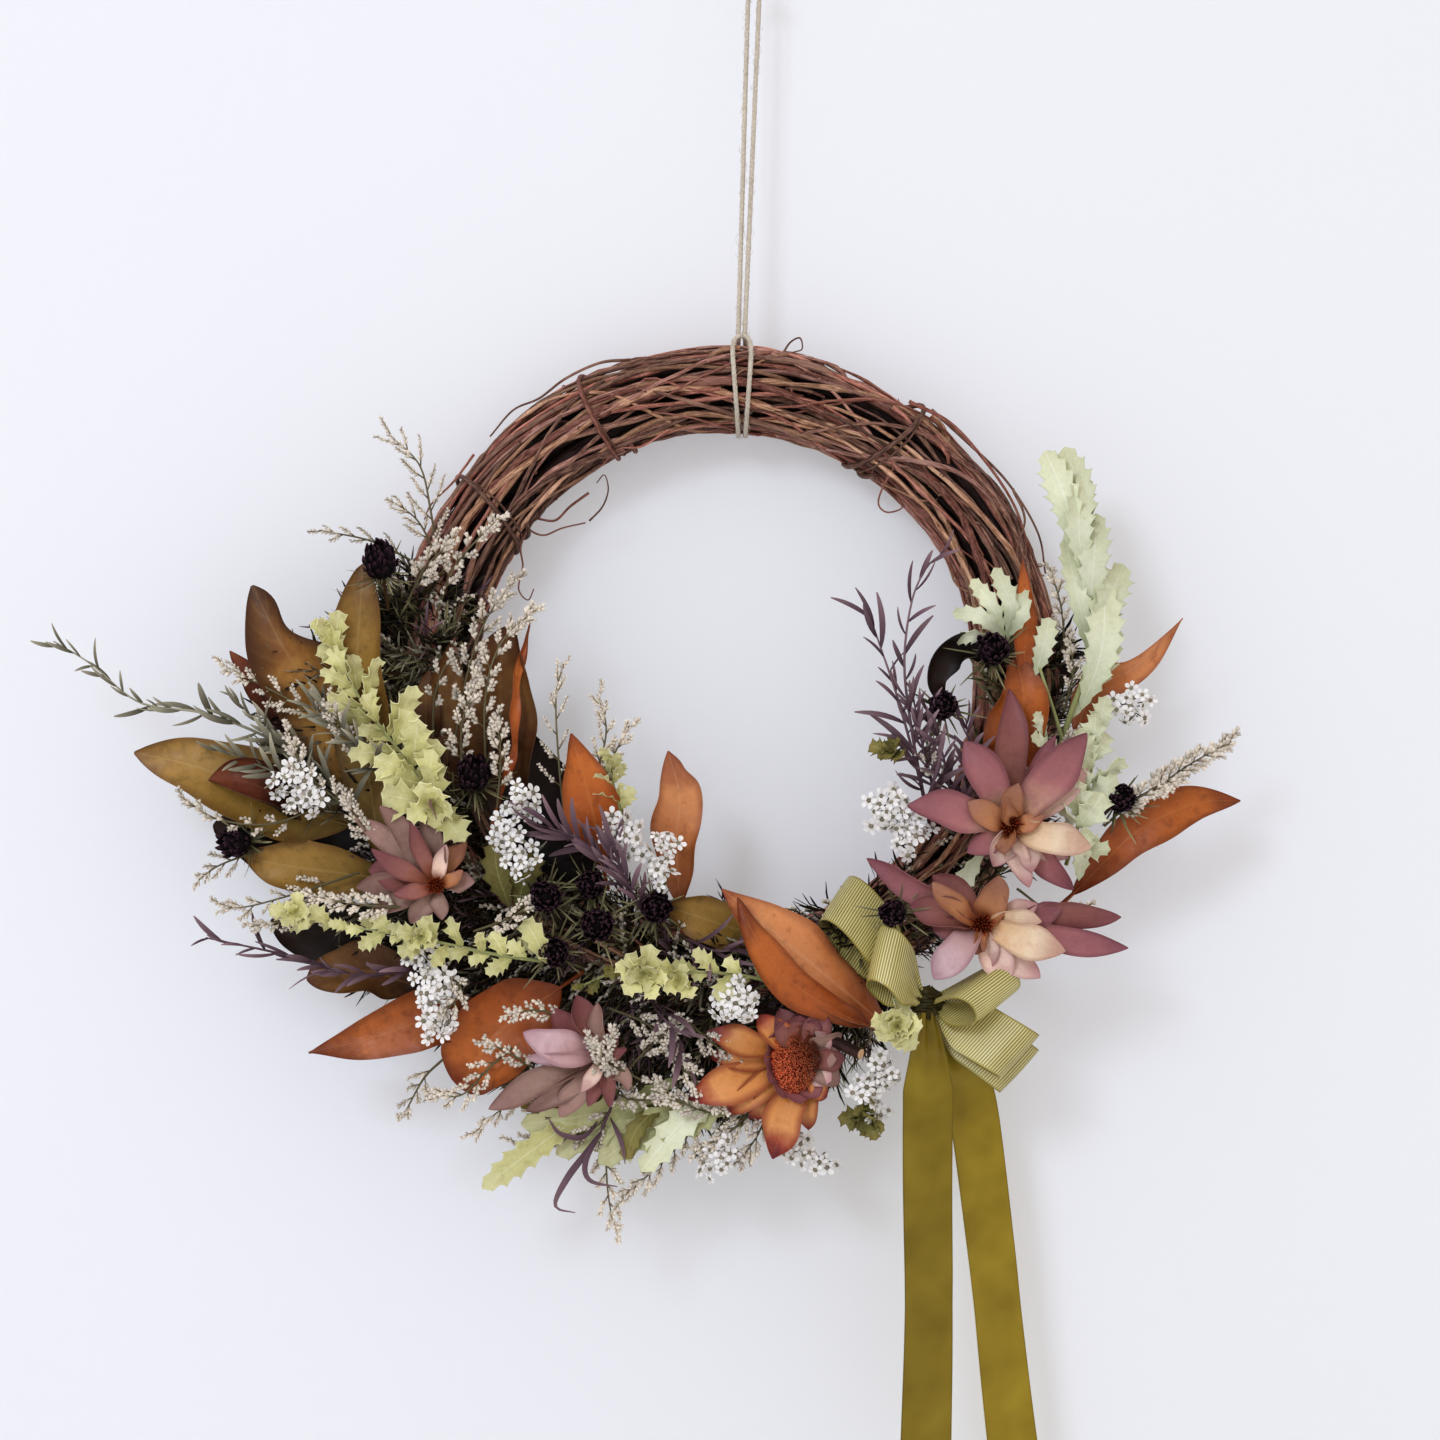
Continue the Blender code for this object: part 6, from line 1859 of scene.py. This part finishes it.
# The near-black leaf that paints shade in the gaps behind the filler.
SHADE_BACKING_LEAF = leaf_template(34, 13, 9, 6, 0.5, 0.7, 0.7, 3.0, 0.5, 0.4, wave=(1.2, 1.4, 0.2))
FILL_CALYX = calyx_template(3.3, 2.0, 3)
FLORETS = 5  # the kind of twig that carries florets; any other kind is the look of its leaves
SHADE_BACKING_LEAVES, FILL_TWIGS, OUTER_TWIGS = 190, 1250, 170
FILL_PARTS = ("left", "far_left", "lower_left", "low", "bottom", "bottom_right", "right", "outer_left")


def outer_reach(angle):
    """How far the flowers reach from the ring's centre, in millimetres, at an angle in degrees."""
    stops = (158, 172, 185, 195, 222, 236, 268, 286, 300, 318, 340, 360, 374)
    return np.interp(angle, stops, (184, 212, 240, 256, 256, 248, 238, 220, 194, 184, 192, 190, 180))


def inner_reach(angle):
    """How near to the ring's centre the flowers come, likewise."""
    stops = (158, 175, 195, 230, 250, 262, 275, 290, 320, 374)
    return np.interp(angle, stops, (134, 122, 114, 118, 112, 106, 112, 124, 130, 132))


def around(angle, out, depth):
    return at(out * cos(radians(angle)), out * sin(radians(angle)), depth)


def fill_twig(shape, foot, tip, kind):
    """A twig with narrow leaves or papery florets all along its outer part."""
    middle = foot * 0.5 + tip * 0.5 + any_way() * 4 * MM
    line = route((foot, middle, tip), 10)
    long = length_of(line) / MM
    shape.add(tube(line, np.linspace(0.7, 0.3, 10) * MM, 4), rng.uniform(), 6 if kind == FLORETS else 2)
    count = int(long * (0.42 if kind == FLORETS else 0.5))
    for k in range(count):
        share = 0.25 + 0.74 * k / count
        row, ahead = step_at(line, share)
        spot = line[row] + (line[row + 1] - line[row]) * (share * 9 - row)
        forward = unit(ahead + (0.6 if kind == FLORETS else 0.8) * any_way())
        if kind == FLORETS:
            stamp(shape, FILL_CALYX, spot, basis(forward, any_way()), rng.uniform(0.7, 1.15), rng.uniform(),
                FLORETS)
        else:
            wide = rng.uniform(0.8, 1.4)
            axes = basis(forward, any_way())
            scale = (wide, rng.uniform(0.6, 1.1), rng.uniform(-1, 1.6))
            stamp(shape, SLIVERS[k % 3], spot, axes, scale, rng.uniform(), kind)


def build_filler():
    # Near-black leaves in the gaps behind the filler: painted shade, dark sheets set where shade falls.
    shade_backing = Shape()
    for k in range(SHADE_BACKING_LEAVES):
        angle = rng.uniform(168, 284) if k % 7 else rng.uniform(330, 364)
        far = rng.uniform(0.2, 0.8)
        near, out = inner_reach(angle), outer_reach(angle) - 18
        spot = around(angle, near + (out - near) * far, rng.uniform(-6, 14))
        outward = around(angle - 12, out + 30, 6) if angle < 305 else around(angle + 14, out + 20, 6)
        forward = unit(unit(outward - spot) + 0.5 * any_way() * (1, 0.3, 1))
        axes = basis(forward, unit(FRONT + 0.5 * any_way()))
        stamp(shade_backing, SHADE_BACKING_LEAF, spot, axes, rng.uniform(0.75, 1.25), rng.uniform())
    shade_backing.object("painted_shade_leaves", [DARK_AND_SHADE, DARK_AND_SHADE])

    parts = {name: Shape() for name in FILL_PARTS}
    for k in range(FILL_TWIGS):
        left = k % 8 != 0
        angle = rng.uniform(160, 298) if left else rng.uniform(298, 372)
        near, out = inner_reach(angle), outer_reach(angle)
        far = rng.uniform(0, 1) ** 0.8
        tip = around(angle, near + (out - near) * far, rng.uniform(6, 40) * (1 - 0.35 * far))
        back = rng.uniform(2, 13) * (1 if left else -1)
        foot = bundle(radians(min(max(angle + back, 166), 366)), 14.0, rng.uniform(0, pi))
        if np.linalg.norm(tip - foot) > 0.082:
            foot = tip + unit(foot - tip) * 0.082
        # Kind 1 is the near-black needle look, painted shade among the filler.
        kind = int(rng.choice((0, 0, 1, 1, 1, 3, 4, 5, 5, 5)))
        name = FILL_PARTS[int((angle - 160) / 138 * 6)] if left else "right"
        fill_twig(parts[name], foot, tip, kind)
    for _ in range(OUTER_TWIGS):
        angle = rng.uniform(175, 198)
        out = outer_reach(angle) * rng.uniform(0.74, 1.04)
        foot = around(angle + rng.uniform(-2, 14), out * 0.76, rng.uniform(4, 20))
        tip = around(angle, out, rng.uniform(10, 34))
        fill_twig(parts["outer_left"], foot, tip, int(rng.choice((0, 1, 4, 4, 4, 5))))
    for name, shape in parts.items():
        shape.object(f"filler_{name}", FILL_LOOKS)


# ---------------------------------------------------------------- wall, floor, light and camera


def stage_look(name, color, is_wall):
    """Plain paint. The wall is clear from behind, where it would hide the wreath, and glows a little: painted
    light that lightens the shadows cast on it."""
    made = bpy.data.materials.new(name)
    made.use_nodes = True
    tree = made.node_tree
    shader = tree.nodes["Principled BSDF"]
    noise = tree.nodes.new("ShaderNodeTexNoise")
    noise.inputs["Scale"].default_value = 1.4
    ramp = tree.nodes.new("ShaderNodeValToRGB")
    ramp.color_ramp.elements[0].position, ramp.color_ramp.elements[1].position = 0.35, 0.65
    ramp.color_ramp.elements[0].color = (*(v * 0.985 for v in color), 1)
    ramp.color_ramp.elements[1].color = (*color, 1)
    place = tree.nodes.new("ShaderNodeTexCoord")
    tree.links.new(place.outputs["Object"], noise.inputs["Vector"])
    tree.links.new(noise.outputs["Fac"], ramp.inputs[0])
    tree.links.new(ramp.outputs[0], shader.inputs["Base Color"])
    shader.inputs["Roughness"].default_value = 0.95
    shader.inputs["Specular IOR Level"].default_value = 0.1
    if is_wall:
        # Painted light: the wall glows a little, which lightens the shadows on it.
        shader.inputs["Emission Color"].default_value = (0.97, 0.975, 1.0, 1)
        shader.inputs["Emission Strength"].default_value = 0.26
        clear = tree.nodes.new("ShaderNodeBsdfTransparent")
        mix = tree.nodes.new("ShaderNodeMixShader")
        back = tree.nodes.new("ShaderNodeNewGeometry")
        tree.links.new(back.outputs["Backfacing"], mix.inputs[0])
        tree.links.new(shader.outputs[0], mix.inputs[1])
        tree.links.new(clear.outputs[0], mix.inputs[2])
        tree.links.new(mix.outputs[0], tree.nodes["Material Output"].inputs[0])
    return made


def quad(name, corners, look):
    mesh = bpy.data.meshes.new(name)
    mesh.from_pydata(corners, [], [(0, 1, 2, 3)])
    mesh.materials.append(look)
    made = bpy.data.objects.new(name, mesh)
    bpy.context.scene.collection.objects.link(made)
    return made


FLOOR_Z = -0.9
WALL_TOP = 2.0
ROOM = 2.5  # half the room's width
TARGET = (float(RING[0]), 0, float(RING[2]))


def build_stage():
    wall = stage_look("wall_paint", (0.64, 0.645, 0.665), True)
    low_left, low_right = (-ROOM, WALL_Y, FLOOR_Z), (ROOM, WALL_Y, FLOOR_Z)
    quad("wall", (low_left, low_right, (ROOM, WALL_Y, WALL_TOP), (-ROOM, WALL_Y, WALL_TOP)), wall)
    floor = stage_look("floor_paint", (0.88, 0.88, 0.89), False)
    near, far = -3.5, 2.5
    quad("floor", [(x, y, FLOOR_Z) for x, y in ((-ROOM, near), (ROOM, near), (ROOM, far), (-ROOM, far))],
        floor)


def build_light():
    """Warm light from all round the room, and a cooler window high up at the left."""
    world = bpy.data.worlds.new("room")
    bpy.context.scene.world = world
    world.use_nodes = True
    background = world.node_tree.nodes["Background"]
    background.inputs["Color"].default_value = (1.0, 0.950, 0.915, 1)
    background.inputs["Strength"].default_value = 0.80
    data = bpy.data.lights.new("window", "AREA")
    data.size = 1.5
    data.energy = 104
    data.color = (0.70, 0.81, 1.0)
    window = bpy.data.objects.new("window", data)
    window.location = (-2.4, -5.0, 2.1)
    window.rotation_euler = (Vector(TARGET) - window.location).to_track_quat("-Z", "Y").to_euler()
    bpy.context.scene.collection.objects.link(window)
    view = bpy.context.scene.view_settings
    view.view_transform = "Standard"
    view.exposure = 0.05
    view.gamma = 0.87


def build_camera():
    """Level, square to the wall, at the height of the ring's centre."""
    data = bpy.data.cameras.new("camera")
    data.sensor_width = 36
    data.lens = 96.15
    made = bpy.data.objects.new("camera", data)
    made.location = (-0.0179, -2.03, -0.411)
    made.rotation_euler = (pi / 2, 0, 0)
    bpy.context.scene.collection.objects.link(made)
    bpy.context.scene.camera = made


build_camera()
build_hanger()
build_loops()
build_tie()
build_tails()
build_ring()
build_wraps()
build_tendrils()
build_magnolia()
build_heads()
build_protea()
build_serrated()
build_limonium()
build_daisies()
build_seed_heads()
build_narrow()
build_filler()
build_stage()
build_light()
